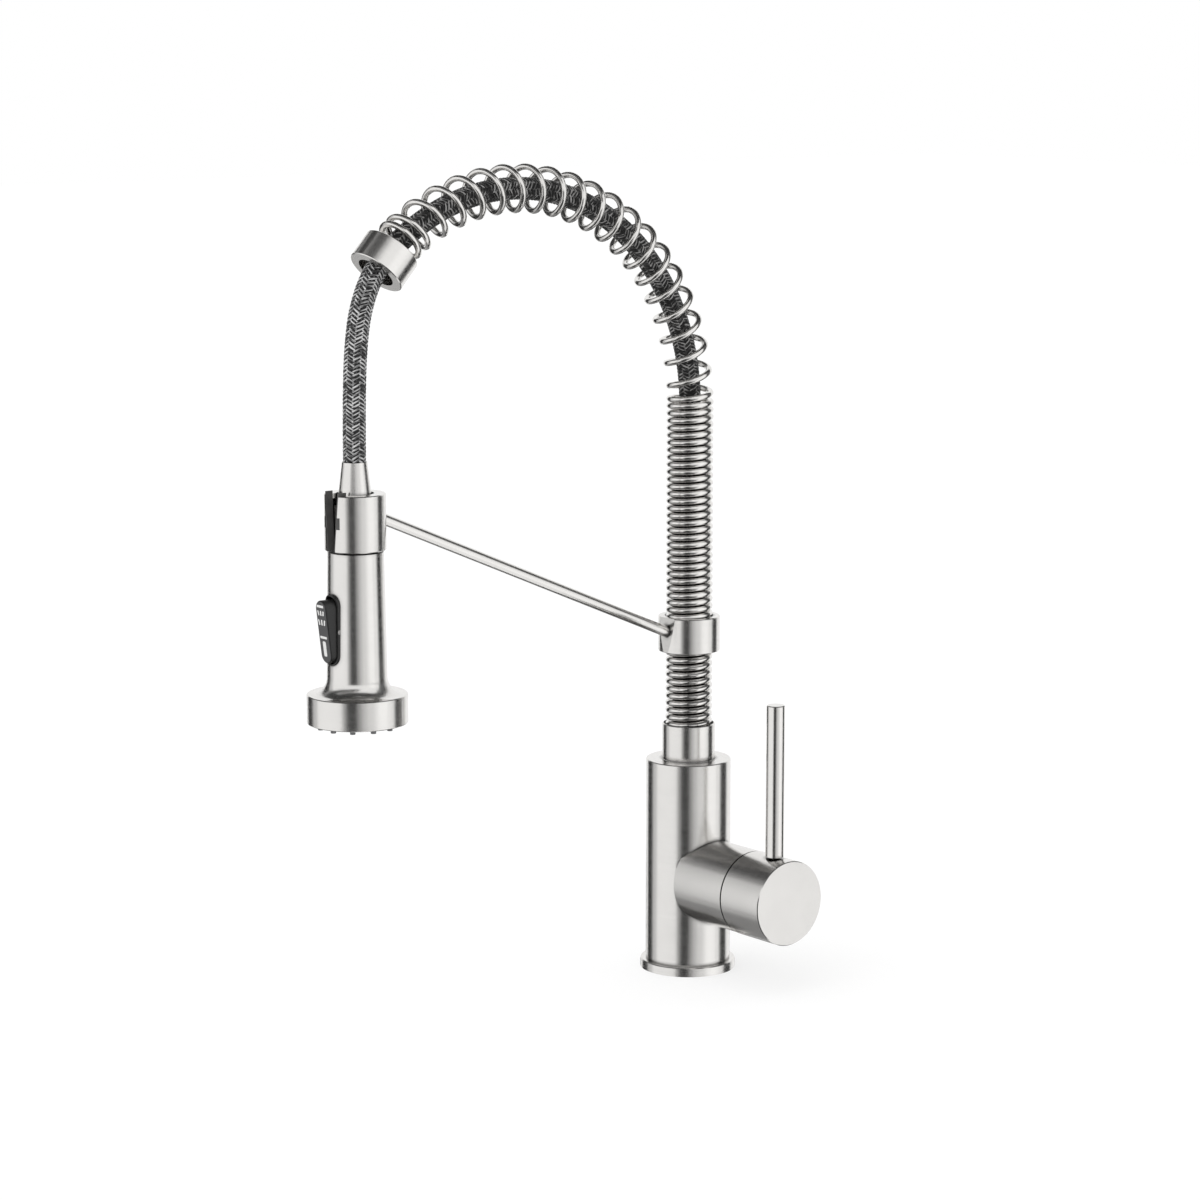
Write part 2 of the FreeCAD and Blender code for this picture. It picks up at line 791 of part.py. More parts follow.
keep("handle_lever", place(turned("handle_lever", [
    (0, stud_end),
    (S.lever_stud_radius, stud_end),
    (S.lever_stud_radius, lever_foot),
    (S.lever_radius, lever_foot + S.lever_foot_height),
    (S.lever_radius, lever_top - S.edge_break),
    (S.lever_radius - S.edge_break, lever_top),
    (0, lever_top),
]), lever_offset))


def grub_screw(name, radius, length):
    """A headless screw along Z with a key socket in its lower end."""
    return turned(name, [
        (S.hex_key_radius, 0),
        (radius, 0),
        (radius, length),
        (0, length),
        (0, S.hex_key_depth),
        (S.hex_key_radius, S.hex_key_depth),
    ])


keep("handle_set_screw", place(
    grub_screw("handle_set_screw", S.set_screw_radius, S.set_screw_length), lever_offset, 0, screw_start))

# Spring, hose and end ring follow one line: up the column, then round the arch
arch_sweep = math.radians(S.arch_sweep.value)
arch_radius = S.arch_radius.value
arch_start = S.arch_start.value
arch_centre = Vector(0, -arch_radius, arch_start)


def along_arch(height, run):
    """Point, tangent and outward normal on the line, run millimetres above a height on the column."""
    column = arch_start - height
    if run <= column:
        return Vector(0, 0, height + run), Vector(0, 0, 1), Vector(0, 1, 0)
    turn = (run - column) / arch_radius
    outward = Vector(0, math.cos(turn), math.sin(turn))
    tangent = Vector(0, -math.sin(turn), math.cos(turn))
    return arch_centre + outward * arch_radius, tangent, outward


arch_end, end_way, _ = along_arch(arch_start, arch_radius * arch_sweep)


def on_arch_end(obj):
    """Hangs a piece on the end of the arch, a little steeper than the arch, its own +Z pointing back."""
    turn = S.arch_sweep.value + S.ring_droop.value - 180
    obj.Placement = FreeCAD.Placement(arch_end, Rotation(Vector(1, 0, 0), turn))
    return obj


ring_bore = ring_bush_radius + S.fit_gap
keep("end_ring", on_arch_end(turned("end_ring", [
    (ring_mouth_radius, -S.ring_length),
    (ring_radius - S.edge_break, -S.ring_length),
    (ring_radius, -S.ring_length + S.edge_break),
    (ring_radius, -S.edge_break),
    (ring_radius - S.edge_break, 0),
    (ring_bore, 0),
    (ring_bore, -S.ring_bush_depth),
    (ring_mouth_radius, -S.ring_bush_depth),
])))
bush_way = S.hose_radius + S.ring_bush_play
keep("end_ring_bush", on_arch_end(turned("end_ring_bush", tube_outline(
    bush_way, ring_bush_radius, -S.ring_bush_depth, S.ring_bush_rise))))


def biarc(start, start_way, end, end_way):
    """Two arcs that leave start and reach end along the given unit directions."""
    chord = end - start
    ways = start_way + end_way
    a = 2 * (1 - start_way.dot(end_way))
    b = 2 * chord.dot(ways)
    c = -chord.dot(chord)
    reach = -c / b if abs(a) < 1e-9 else (-b + math.sqrt(b * b - 4 * a * c)) / (2 * a)
    middle = (start + end + (start_way - end_way) * reach) * 0.5
    return [arc_from(start, start_way, middle), arc_from(end, -end_way, middle)]


def arc_from(start, way, end):
    """The arc that leaves start along way and reaches end."""
    chord = end - start
    along = Vector(chord).normalize()
    rise = way - along * way.dot(along)
    half_turn = math.atan2(rise.Length, way.dot(along))
    middle = start + chord * 0.5 + rise.normalize() * (chord.Length / 2 * math.tan(half_turn / 2))
    return Part.Arc(start, middle, end)


def spring_run(turn):
    """How far along the line the wire has climbed after so many turns."""
    closed = closed_pitch.value
    opened = turn - S.closed_turns.value
    count = S.open_turns.value
    if opened <= 0:
        spread = 0.0
    elif opened < 1:
        spread = opened**2 / 2
    elif opened < count - 1:
        spread = opened - 0.5
    elif opened < count:
        spread = count - 1 - (count - opened)**2 / 2
    else:
        spread = count - 1
    return closed * turn + (open_pitch - closed) * spread


wire_radius = S.wire_diameter.value / 2
wire_sides = 6
wire_corner = wire_radius * math.sqrt(2 * math.pi / (wire_sides * math.sin(2 * math.pi / wire_sides)))
coil_radius = spring_radius.value - wire_radius
spring_low = spring_seat.value + wire_corner + S.fit_gap.value
ring_lift = ring_radius.value * math.sin(math.radians(S.ring_droop.value))
arch_run = arch_start - spring_low + arch_radius * arch_sweep
spring_length = arch_run - ring_lift - wire_corner - S.fit_gap.value
spring_turns = S.closed_turns.value + S.open_turns.value + S.end_turns.value
open_pitch = closed_pitch.value + (
    spring_length - closed_pitch.value * spring_turns) / (S.open_turns.value - 1)


def wire_point(turn):
    centre, tangent, outward = along_arch(spring_low, spring_run(turn))
    angle = 2 * math.pi * turn
    sideways = tangent.cross(outward)
    return centre + (outward * math.cos(angle) + sideways * math.sin(angle)) * coil_radius


def wire_way(turn, step=1e-4):
    return (wire_point(turn + step) - wire_point(turn - step)).normalize()


def least_self_gap(curves):
    """The least distance between turns of the wire, measured on points of its middle line."""
    points = [curve.value(curve.FirstParameter + (curve.LastParameter - curve.FirstParameter) * k / 6)
              for curve in curves for k in range(6)]
    near, far = 14, 40
    least = min(points[i].distanceToPoint(points[j])
                for i in range(len(points)) for j in range(i + near, min(i + far, len(points))))
    return least - S.wire_diameter.value


def coil_spring():
    """One unbroken wire, close-wound up the column and open round the arch."""
    count = round(spring_turns * 2)
    stations = [spring_turns * i / count for i in range(count + 1)]
    curves = []
    for first, last in zip(stations, stations[1:]):
        curves += biarc(wire_point(first), wire_way(first), wire_point(last), wire_way(last))
    start, start_way = wire_point(0), wire_way(0)
    end, end_way = wire_point(spring_turns), wire_way(spring_turns)
    tail = S.wire_diameter.value
    first_tail = Part.LineSegment(start - start_way * tail, start)
    last_tail = Part.LineSegment(end, end + end_way * tail)
    edges = [first_tail.toShape()] + [curve.toShape() for curve in curves] + [last_tail.toShape()]
    path = Part.Wire(edges)
    section = Part.makePolygon(wire_section(start - start_way * tail, start_way))
    spring = doc.addObject("Part::Feature", "coil_spring")
    spring.Shape = path.makePipeShell([section], True, False)
    print(f"spring: {spring_turns:.1f} turns, open pitch {open_pitch:.2f}, "
          f"least gap {least_self_gap(curves):.2f}, length {path.Length:.0f}")
    return spring


def wire_section(centre, way):
    """Corners of the wire's many-sided section, of the same area as its round one."""
    across = Vector(0, 0, 1).cross(way).normalize()
    upward = way.cross(across)
    corners = []
    for i in range(wire_sides + 1):
        angle = 2 * math.pi * i / wire_sides
        corners.append(centre + (across * math.cos(angle) + upward * math.sin(angle)) * wire_corner)
    return corners


keep("coil_spring", coil_spring())


def swept_tube(name, edges, start, way):
    """A round solid along a path of lines and arcs."""
    path = Part.Wire([edge.toShape() for edge in edges])
    radius = S.hose_radius.value
    section = Part.Wire([Part.makeCircle(radius, start, way)])
    tube = doc.addObject("Part::Feature", name)
    tube.Shape = path.makePipeShell([section], True, False)
    expected = math.pi * radius**2 * path.Length
    print(f"{name}: length {path.Length:.1f}, volume / (section x length) {tube.Shape.Volume / expected:.4f}")
    return tube


# Hose: held in the column and the arch, then hanging free to the spray head
hose_start = Vector(0, 0, hose_low.value)
column_top = Vector(0, 0, arch_start)
arch_middle = along_arch(arch_start, arch_radius * arch_sweep / 2)[0]
keep("hose_riser", swept_tube(
    "hose_riser",
    [Part.LineSegment(hose_start, column_top), Part.Arc(column_top, arch_middle, arch_end)],
    hose_start,
    Vector(0, 0, 1),
))

# Corners of the hanging hose in the plane of the arch, as (Y, Z), past the one where it leaves the arch
DROP_ROUTE = [
    (-216.2, 388.0),
    (-221.3, 370.0),
    (-223.6, 337.0),
]


def hose_drop():
    corners = [arch_end + end_way * S.fit_gap.value, arch_end + end_way * S.drop_lead.value]
    corners += [Vector(0, y, z) for y, z in DROP_ROUTE]
    corners += [Vector(0, -S.reach.value, ferrule_top.value + S.fit_gap.value)]
    edges = []
    last = corners[0]
    radii = []
    for before, corner, after in zip(corners, corners[1:], corners[2:]):
        way_in = (corner - before).normalize()
        way_out = (after - corner).normalize()
        half_turn = way_in.getAngle(way_out) / 2
        tangent = 0.45 * min(before.distanceToPoint(corner), corner.distanceToPoint(after))
        radius = tangent / math.tan(half_turn)
        radii.append(radius)
        inward = (way_out - way_in).normalize()
        middle = corner + inward * (radius / math.cos(half_turn) - radius)
        first = corner - way_in * tangent
        edges.append(Part.LineSegment(last, first))
        last = corner + way_out * tangent
        edges.append(Part.Arc(first, middle, last))
    edges.append(Part.LineSegment(last, corners[-1]))
    print("hose_drop radii", [round(radius, 1) for radius in radii])
    return swept_tube("hose_drop", edges, corners[0], (corners[1] - corners[0]).normalize())


keep("hose_drop", hose_drop())
coupling_inner = S.hose_radius + S.fit_gap
keep("hose_coupling", turned("hose_coupling", [
    (0, coupling_low),
    (S.coupling_nipple_radius, coupling_low),
    (S.coupling_nipple_radius, hose_low - S.coupling_wall),
    (coupling_inner + S.coupling_wall, hose_low - S.coupling_wall),
    (coupling_inner + S.coupling_wall, coupling_top),
    (coupling_inner, coupling_top),
    (coupling_inner, hose_low),
    (0, hose_low),
]))

# Support arm: ring round the spring, rod, and the dock that holds the spray head
arm_low_height = S.arm_ring_low + S.arm_ring_rise
arm_high_height = S.dock_low + S.arm_dock_rise
arm_foot = Vector(0, 0, arm_low_height.value)
arm_head = Vector(0, -S.reach.value, arm_high_height.value)


def arm_line(name, gap):
    """A rod on the arm's axis, its ends coped to the round floors of the sockets that hold them."""
    rod = doc.addObject("Part::Cylinder", name + "_line")
    bind(rod, "Radius", S.arm_radius + gap)
    rod.Height = arm_foot.distanceToPoint(arm_head)
    rod.Placement = FreeCAD.Placement(arm_foot, Rotation(Vector(0, 0, 1), arm_head - arm_foot))
    ring_floor = arm_ring_radius - S.arm_socket_depth - gap
    dock_floor = dock_radius - S.arm_dock_depth - gap
    return cut(
        name,
        rod,
        cylinder(name + "_ring_floor", ring_floor, S.arch_start),
        cylinder(name + "_dock_floor", dock_floor, S.arch_start, 0, -S.reach),
    )


keep("arm_rod", arm_line("arm_rod", as_size(0)))
arm_socket = arm_line("arm_socket", S.fit_gap)
arm_ring_top = S.arm_ring_low + S.arm_ring_height
arm_ring_blank = turned("arm_ring_blank", tube_outline(
    arm_ring_bore, arm_ring_radius, S.arm_ring_low, arm_ring_top, S.edge_break))


def arm_flat():
    """What is milled off the ring's front, where the rod goes in, to leave a slightly tilted flat."""
    lean = S.arm_flat_depth - S.arm_flat_foot
    low = S.arm_ring_low - S.arm_ring_height
    high = arm_ring_top + S.arm_ring_height
    chip = doc.addObject("PartDesign::Body", "arm_flat")
    sketch = new_sketch(chip, "YZ_Plane", "arm_flat_outline")
    draw_outline(sketch, [
        (-arm_ring_radius + S.arm_flat_foot - lean, low),
        (-arm_ring_radius + S.arm_flat_depth + lean, high),
        (-arm_ring_radius * 2, high),
        (-arm_ring_radius * 2, low),
    ])
    pad = chip.newObject("PartDesign::Pad", "arm_flat_pad")
    pad.Profile = sketch
    pad.Midplane = True
    bind(pad, "Length", arm_ring_radius * 2)
    return chip


arm_screw_height = S.arm_ring_low + S.arm_ring_height / 2
arm_screw_bore = cylinder(
    "arm_screw_bore", S.set_screw_radius + S.fit_gap, arm_ring_radius, 0, 0, arm_screw_height, "Y")
arm_ring_faced = cut("arm_ring_faced", arm_ring_blank, arm_flat())
keep("arm_ring", cut("arm_ring_drilled", arm_ring_faced, arm_socket, arm_screw_bore))
arm_screw_end = arm_ring_radius - S.edge_break * 2
arm_screw = grub_screw("arm_set_screw", S.set_screw_radius, arm_screw_end - arm_ring_bore)
keep("arm_set_screw", place(
    arm_screw, 0, arm_screw_end, arm_screw_height, Rotation(Vector(1, 0, 0), 90)))

slot_low_half = S.dock_slot_low_width / 2
slot_top_half = S.dock_slot_top_width / 2
slot_spread = slot_top_half - slot_low_half
lug_low = S.dock_low + S.dock_lug_rise
lug_top = lug_low + S.dock_lug_height
lug_half = (slot_low_half + slot_top_half) / 2 + S.dock_lug_width
dock_front = -S.reach - dock_radius * 2


def dock_wedge(name, inset):
    """The dock's slot, wider at its top, less an inset on each side, and run on past both rims."""
    body = doc.addObject("PartDesign::Body", name)
    sketch = new_sketch(body, "XZ_Plane", name + "_outline", S.reach)
    foot = slot_low_half - slot_spread - inset
    head = slot_top_half + slot_spread - inset
    low = S.dock_low - S.dock_height
    high = dock_top + S.dock_height
    draw_outline(sketch, [(-foot, low), (foot, low), (head, high), (-head, high)])
    pad = body.newObject("PartDesign::Pad", name + "_pad")
    pad.Profile = sketch
    bind(pad, "Length", dock_radius * 2)
    return body


def dock_lug(name, inset):
    """The notch half way up the dock's slot, less an inset all round."""
    return block(
        name,
        (-lug_half + inset, lug_half - inset),
        (dock_front, -S.reach),
        (lug_low + inset, lug_top - inset),
    )


bevel = S.edge_break
dock_blank = on_head_axis(turned("dock_blank", [
    (dock_bore_radius, S.dock_low),
    (dock_radius - bevel, S.dock_low),
    (dock_radius, S.dock_low + bevel),
    (dock_radius, dock_top - bevel),
    (dock_radius - bevel, dock_top),
    (dock_lip_bore, dock_top),
    (dock_lip_bore, dock_lip_low),
    (dock_bore_radius, dock_lip_low),
]))
keep("dock_sleeve", cut(
    "dock_sleeve_slotted", dock_blank, dock_wedge("dock_slot", 0), dock_lug("dock_notch", 0), arm_socket))
liner_low = S.dock_low + S.liner_inset
liner_top = dock_lip_low - S.fit_gap
liner_tube = on_head_axis(turned("liner_tube", tube_outline(
    liner_bore_radius, dock_bore_radius - S.fit_gap, liner_low, liner_top)))
liner_face = on_head_axis(turned("liner_face", tube_outline(
    liner_bore_radius, dock_radius - bevel, liner_low, dock_top + S.liner_rise)))
liner_front = common("liner_front", liner_face, fuse(
    "liner_lips_and_lugs", dock_wedge("liner_lips", S.fit_gap), dock_lug("liner_lugs", S.fit_gap)))
keep("dock_liner", cut(
    "dock_liner_slotted", fuse("liner_whole", liner_tube, liner_front), dock_wedge("liner_gap", S.liner_lip)))

# Hose ferrule: cone on the hose's end with the spigot that the spray head turns on
seal_groove = S.head_spigot_radius - S.seal_thickness
seal_low = seal_height - S.seal_thickness / 2 - S.fit_gap
seal_top = seal_height + S.seal_thickness / 2 + S.fit_gap
keep("hose_ferrule", on_head_axis(turned("hose_ferrule", [
    (S.head_spigot_bore, head_spigot_low),
    (S.head_spigot_radius, head_spigot_low),
    (S.head_spigot_radius, clip_low - S.fit_gap),
    (spigot_clip_radius, clip_low - S.fit_gap),
    (spigot_clip_radius, clip_top + S.fit_gap),
    (S.head_spigot_radius, clip_top + S.fit_gap),
    (S.head_spigot_radius, seal_low),
    (seal_groove, seal_low),
    (seal_groove, seal_top),
    (S.head_spigot_radius, seal_top),
    (S.head_spigot_radius, ferrule_low),
    (ferrule_low_radius, ferrule_low),
    (ferrule_top_radius, ferrule_top),
    (S.head_spigot_bore, ferrule_top),
])))
swivel_clip = on_head_axis(turned("swivel_clip_turned", tube_outline(
    spigot_clip_radius + S.fit_gap, clip_radius, clip_low, clip_top)))
clip_mouth = block(
    "clip_mouth",
    (-S.clip_height, S.clip_height),
    (-S.reach, -S.reach + cavity_radius),
    (clip_low, clip_top),
)
keep("swivel_clip", cut("swivel_clip_cut", swivel_clip, clip_mouth))
keep("swivel_seal", on_head_axis(turned("swivel_seal", tube_outline(
    seal_groove + S.fit_gap, S.head_spigot_radius, seal_low + S.fit_gap, seal_top - S.fit_gap))))

# Spray head
def spray_body_turned():
    body = turned("spray_body_turned", [
        (neck_bore, cavity_top),
        (cavity_radius, cavity_top),
        (cavity_radius, rim_ceiling),
        (rim_inner, rim_ceiling),
        (rim_inner, disc_low),
        (S.disc_radius - bevel, disc_low),
        (S.disc_radius, disc_low + bevel),
        (S.disc_radius, disc_top - bevel),
        (S.disc_radius - bevel, disc_top),
        (grip_low_radius, disc_top),
        (S.shoulder_radius, shoulder_height - bevel),
        (S.shoulder_radius - bevel, shoulder_height),
        (S.neck_radius, shoulder_height),
        (S.neck_radius, neck_top - bevel),
        (S.neck_radius - bevel, neck_top),
        (neck_bore, neck_top),
    ])
    doc.recompute()
    turn = body.Tip
    foot = [f"Edge{i}" for i, edge in enumerate(turn.Shape.Edges, start=1)
            if edge.Closed and is_ring(edge, grip_low_radius.value, disc_top.value)]
    flare = body.newObject("PartDesign::Fillet", "flare")
    flare.Base = (turn, foot)
    bind(flare, "Radius", S.flare_radius)
    doc.recompute()
    assert flare.Shape.Volume > turn.Shape.Volume, "the flare adds nothing"
    return on_head_axis(body)


def is_ring(edge, radius, height):
    """Whether an edge is the circle of that radius at that height."""
    curve = edge.Curve
    if not isinstance(curve, Part.Circle):
        return False
    return abs(curve.Radius - radius) < 1e-4 and abs(curve.Center.z - height) < 1e-4


rocker_half = S.rocker_width / 2
rocker_low = rocker_middle - S.rocker_length / 2
rocker_top = rocker_middle + S.rocker_length / 2
bezel_inner_half = rocker_half + S.clear_gap
bezel_inner_low = rocker_low - S.bezel_low_gap
bezel_inner_top = rocker_top + S.bezel_top_gap
bezel_outer_half = bezel_inner_half + S.bezel_wall
bezel_outer_low = bezel_inner_low - S.bezel_wall
bezel_outer_top = bezel_inner_top + S.bezel_wall
window = stadium(
    "rocker_window",
    bezel_outer_half + S.fit_gap,
    bezel_outer_low - S.fit_gap,
    bezel_outer_top + S.fit_gap,
    rocker_well_depth,
    S.disc_radius,
)
keep("spray_body", cut("spray_body_windowed", spray_body_turned(), window))
bezel_skin = on_head_axis(turned("bezel_skin", tube_outline(
    cavity_radius + S.fit_gap, bezel_radius, bezel_outer_low, bezel_outer_top)))
bezel_outer = stadium(
    "bezel_outer", bezel_outer_half, bezel_outer_low, bezel_outer_top, rocker_well_depth, S.disc_radius)
bezel_inner = stadium(
    "bezel_inner", bezel_inner_half, bezel_inner_low, bezel_inner_top, rocker_well_depth, S.disc_radius)
pin_y = -S.reach - rocker_pivot_depth
rocker_pin_half = bezel_outer_half


def rocker_axle(name, radius):
    return cylinder(name, radius, rocker_pin_half * 2, -rocker_pin_half, pin_y, rocker_middle, "X")


keep("rocker_bezel", cut(
    "rocker_bezel_open",
    common("bezel_plate", bezel_skin, bezel_outer),
    bezel_inner,
    rocker_axle("bezel_pin_bore", S.rocker_pin_radius + S.fit_gap),
))
keep("rocker_pin", rocker_axle("rocker_pin", S.rocker_pin_radius))


def rocker_button():
    """A pad that stands prouder at its upper end, rounded along the rim of its face."""
    profile = doc.addObject("PartDesign::Body", "rocker_profile")
    sketch = new_sketch(profile, "YZ_Plane", "rocker_profile_outline")
    draw_outline(sketch, [
        (-S.reach - rocker_inner_depth, rocker_low),
        (-S.reach - rocker_low_depth, rocker_low),
        (-S.reach - rocker_top_depth, rocker_top),
        (-S.reach - rocker_inner_depth, rocker_top),
    ])
    pad = profile.newObject("PartDesign::Pad", "rocker_pad")
    pad.Profile = sketch
    pad.Midplane = True
    bind(pad, "Length", S.rocker_width * 2)
    outline = stadium(
        "rocker_outline", rocker_half, rocker_low, rocker_top, rocker_well_depth, S.disc_radius)
    blank = common("rocker_blank", profile, outline)
    doc.recompute()
    front = -S.reach.value - rocker_low_depth.value
    rim = [i for i, edge in enumerate(blank.Shape.Edges, start=1)
           if max(vertex.Point.y for vertex in edge.Vertexes) < front + 1e-4]
    rounded = doc.addObject("Part::Fillet", "rocker_rounded")
    rounded.Base = blank
    radius = S.rocker_fillet.value
    rounded.Edges = [(i, radius, radius) for i in rim]
    return cut(
        "rocker_button_bored", rounded, rocker_axle("rocker_bore", S.rocker_pin_radius + S.running_gap))


keep("rocker_button", rocker_button())

# Inside the spray head: waterway, valve, washer, spool, face, nozzles and aerator
insert_radius = cavity_radius - S.clear_gap
insert_blank = on_head_axis(turned("insert_blank", [
    (0, insert_plate_low),
    (rim_inner - S.fit_gap, insert_plate_low),
    (rim_inner - S.fit_gap, insert_plate_top),
    (insert_radius, insert_plate_top),
    (insert_radius, insert_top),
    (0, insert_top),
]))
valve_radius = S.head_spigot_bore - S.fit_gap
valve_top = insert_top - S.fit_gap
spool_height = rocker_middle - S.spool_drop
water_bore = cylinder(
    "water_bore", S.head_spigot_bore, insert_top - spool_height, 0, -S.reach, spool_height)
rocker_well = block(
    "rocker_well",
    (-S.disc_radius, S.disc_radius),
    (-S.reach - S.disc_radius, -S.reach - rocker_well_depth),
    (bezel_outer_low - S.clear_gap, bezel_outer_top + S.clear_gap),
)
spool_front = -S.reach - rocker_inner_depth + S.spool_gap
spool_bore = cylinder(
    "spool_bore",
    S.spool_radius + S.running_gap,
    S.spool_length + S.clear_gap,
    0,
    spool_front,
    spool_height,
    "Y",
)
keep("waterway_insert", cut("waterway_insert_cut", insert_blank, water_bore, rocker_well, spool_bore))
keep("diverter_spool", cylinder(
    "diverter_spool", S.spool_radius, S.spool_length, 0, spool_front, spool_height, "Y"))
keep("check_valve", on_head_axis(turned("check_valve", tube_outline(
    valve_radius / 2, valve_radius, valve_top - S.valve_length, valve_top))))
keep("filter_washer", on_head_axis(turned("filter_washer", tube_outline(
    S.head_spigot_bore, S.head_spigot_radius, insert_top, insert_top + S.washer_height))))
hole_radius = S.nozzle_radius + S.fit_gap * 2


def nozzle_rods(name, radius, low, high):
    """Six-sided rods where the spray nozzles stand, in two rings."""
    rods = []
    rings = (
        ("outer", nozzle_outer_circle, int(S.nozzle_outer_count.value)),
        ("inner", nozzle_inner_circle, int(S.nozzle_inner_count.value)),
    )
    for ring, circle, count in rings:
        for i in range(count):
            angle = 2 * math.pi * i / count + math.radians(S.nozzle_turn.value)
            rod = doc.addObject("Part::Prism", f"{name}_{ring}_{i}")
            rod.Polygon = 6
            bind(rod, "Circumradius", radius)
            bind(rod, "Height", high - low)
            across = circle * round(math.cos(angle), 6)
            along = circle * round(math.sin(angle), 6)
            rods.append(place(rod, across, along - S.reach, low))
    return rods


face_outer = rim_inner - S.fit_gap
aerator_bore = S.aerator_radius + S.fit_gap
face_blank = on_head_axis(turned("face_blank", tube_outline(aerator_bore, face_outer, face_low, face_top)))
keep("spray_face", cut(
    "spray_face_drilled", face_blank, *nozzle_rods("face_hole", hole_radius, face_low, face_top)))
mat_blank = on_head_axis(turned("mat_blank", tube_outline(
    aerator_bore, face_outer, face_top, mat_top)))
keep("nozzle_mat", fuse(
    "nozzle_mat_whole", mat_blank, *nozzle_rods("nozzle", S.nozzle_radius, nozzle_low, face_top)))
keep("aerator", on_head_axis(turned("aerator", [
    (0, mat_top - S.aerator_wall),
    (S.aerator_radius - S.aerator_wall, mat_top - S.aerator_wall),
    (S.aerator_radius - S.aerator_wall, face_low),
    (S.aerator_radius, face_low),
    (S.aerator_radius, mat_top),
    (0, mat_top),
])))

doc.recompute()
for obj in doc.Objects:
    failed = {"Invalid", "Error"} & set(obj.State)
    assert not failed, f"{obj.Label}: {obj.State}"
for label, obj in nodes.items():
    assert not obj.Shape.isNull() and obj.Shape.isValid(), f"{label} has no valid shape"
    assert obj.Shape.Solids, f"{label} has no solid"

os.makedirs("parts", exist_ok=True)
for label, obj in nodes.items():
    obj.Shape.exportStep(f"parts/{label}.step")
print(len(nodes), "pieces")
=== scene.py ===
import math

import bmesh
import bpy
from mathutils import Matrix, Vector


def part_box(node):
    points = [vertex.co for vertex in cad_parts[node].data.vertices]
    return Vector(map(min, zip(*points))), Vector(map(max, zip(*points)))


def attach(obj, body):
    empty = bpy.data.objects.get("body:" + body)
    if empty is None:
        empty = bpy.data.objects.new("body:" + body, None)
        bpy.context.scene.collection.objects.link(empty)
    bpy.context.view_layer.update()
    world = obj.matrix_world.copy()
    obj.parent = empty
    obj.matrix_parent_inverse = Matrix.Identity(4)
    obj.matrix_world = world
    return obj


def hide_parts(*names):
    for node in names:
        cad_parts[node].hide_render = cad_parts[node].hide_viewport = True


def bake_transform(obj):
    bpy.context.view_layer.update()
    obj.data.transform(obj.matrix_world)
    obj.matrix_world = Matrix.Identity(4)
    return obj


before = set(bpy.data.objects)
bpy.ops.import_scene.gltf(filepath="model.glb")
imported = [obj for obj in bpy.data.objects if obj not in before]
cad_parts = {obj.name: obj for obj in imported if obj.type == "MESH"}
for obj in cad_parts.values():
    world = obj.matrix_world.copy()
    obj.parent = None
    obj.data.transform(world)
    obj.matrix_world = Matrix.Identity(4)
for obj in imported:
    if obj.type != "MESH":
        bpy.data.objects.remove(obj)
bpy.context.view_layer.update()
scene = bpy.context.scene
scene.view_settings.view_transform = "Standard"

# Sizes of the hose and the spring as the source has them, in metres, radians and turns
HOSE_RADIUS = 0.006
HOSE_LOW = 0.028
TUBE_TOP = 0.3095
ARCH_START = 0.3165
ARCH_RADIUS = 0.1212
ARCH_SWEEP = math.radians(129.8)
WIRE_RADIUS = 0.0017
COIL_RADIUS = 0.0113
SPRING_LOW = 0.13692
SPRING_END_GAP = 0.00403
CLOSED_PITCH = 0.00403
CLOSED_TURNS = 45.5
OPEN_TURNS = 20
END_TURNS = 1
HEAD_AXIS_Y = -0.2236

# Control points of the hanging hose in the plane of the arch, as (Y, Z)
DROP_ROUTE = [
    (-0.19882, 0.40958),
    (-0.2080, 0.40193),
    (-0.2162, 0.3880),
    (-0.2213, 0.3700),
    (-0.2236, 0.3370),
    (-0.2236, 0.30305),
]

# Order and resolution of the spline that they shape, and its length
DROP_ORDER = 3
DROP_RESOLUTION = 64

# Camera, fitted to the photograph
CAMERA_PLACE = (1.42643, -1.21844, 0.52774)
CAMERA_AZIMUTH = math.radians(51.0)
CAMERA_TILT = math.radians(9.68)
CAMERA_LENS = 103.34
CAMERA_SENSOR = 36.0
CAMERA_REACH = 20

# Finishes: colours, roughness, and scales of noise, in waves per metre along X, Y and Z or per unit of a UV map
STEEL = (0.783, 0.77, 0.751)
BLACK = (0.013, 0.013, 0.013)
SATIN = 0.22
FINE_SATIN = 0.16
BRUSH_SCALE = (25, 25, 2600)
DRAWN_SCALE = (40, 30, 1)
TURNED_SCALE = (900, 60, 900)
FLECK_SCALE = (1.7, 330.0, 1.0)
CLOUD_SCALE = 60.0
PATCH_SCALE = 180.0
SPECKLE_SCALE = 2500.0
GRAIN_SCALE = 3500.0
NOISE_LOW = 0.3
NOISE_HIGH = 0.7

# Least and greatest shares of a finish's colour and roughness, and roughness of two finishes
STEEL_TONES = (0.985, 1.015)
STEEL_GLOSS = (0.85, 1.2)
PLASTIC_TONES = (0.85, 1.15)
PLASTIC_GLOSS = (0.85, 1.15)
BRASS_TONES = (0.85, 1.08)
BRASS_ROUGHNESS = (0.24, 0.38)
ROCKER_ROUGHNESS = (0.34, 0.46)

# Relief of the finishes: strength of the bump and its height in metres
BRUSH_RELIEF = (0.04, 0.000004)
GRAIN_RELIEF = (0.25, 0.00003)
TURNED_RELIEF = (0.12, 0.00003)
TWIST_RELIEF = (0.6, 0.00012)

# Turn in degrees, from upright, of the axis that a piece is brushed round
UPRIGHT = (0, 0, 0)
SIDEWAYS = (0, 90, 0)
RING_TURN = (137.8, 0, 0)
ARM_TURN = (67, 0, 0)

# Distance from the column's axis beyond which the body's steel is brushed round the side boss
BODY_RADIUS = 0.02365

# How far from a carrier's middle the light yarn ends, and over how much more it fades, as shares of the width
YARN_EDGE = 0.23
YARN_FADE = 0.06

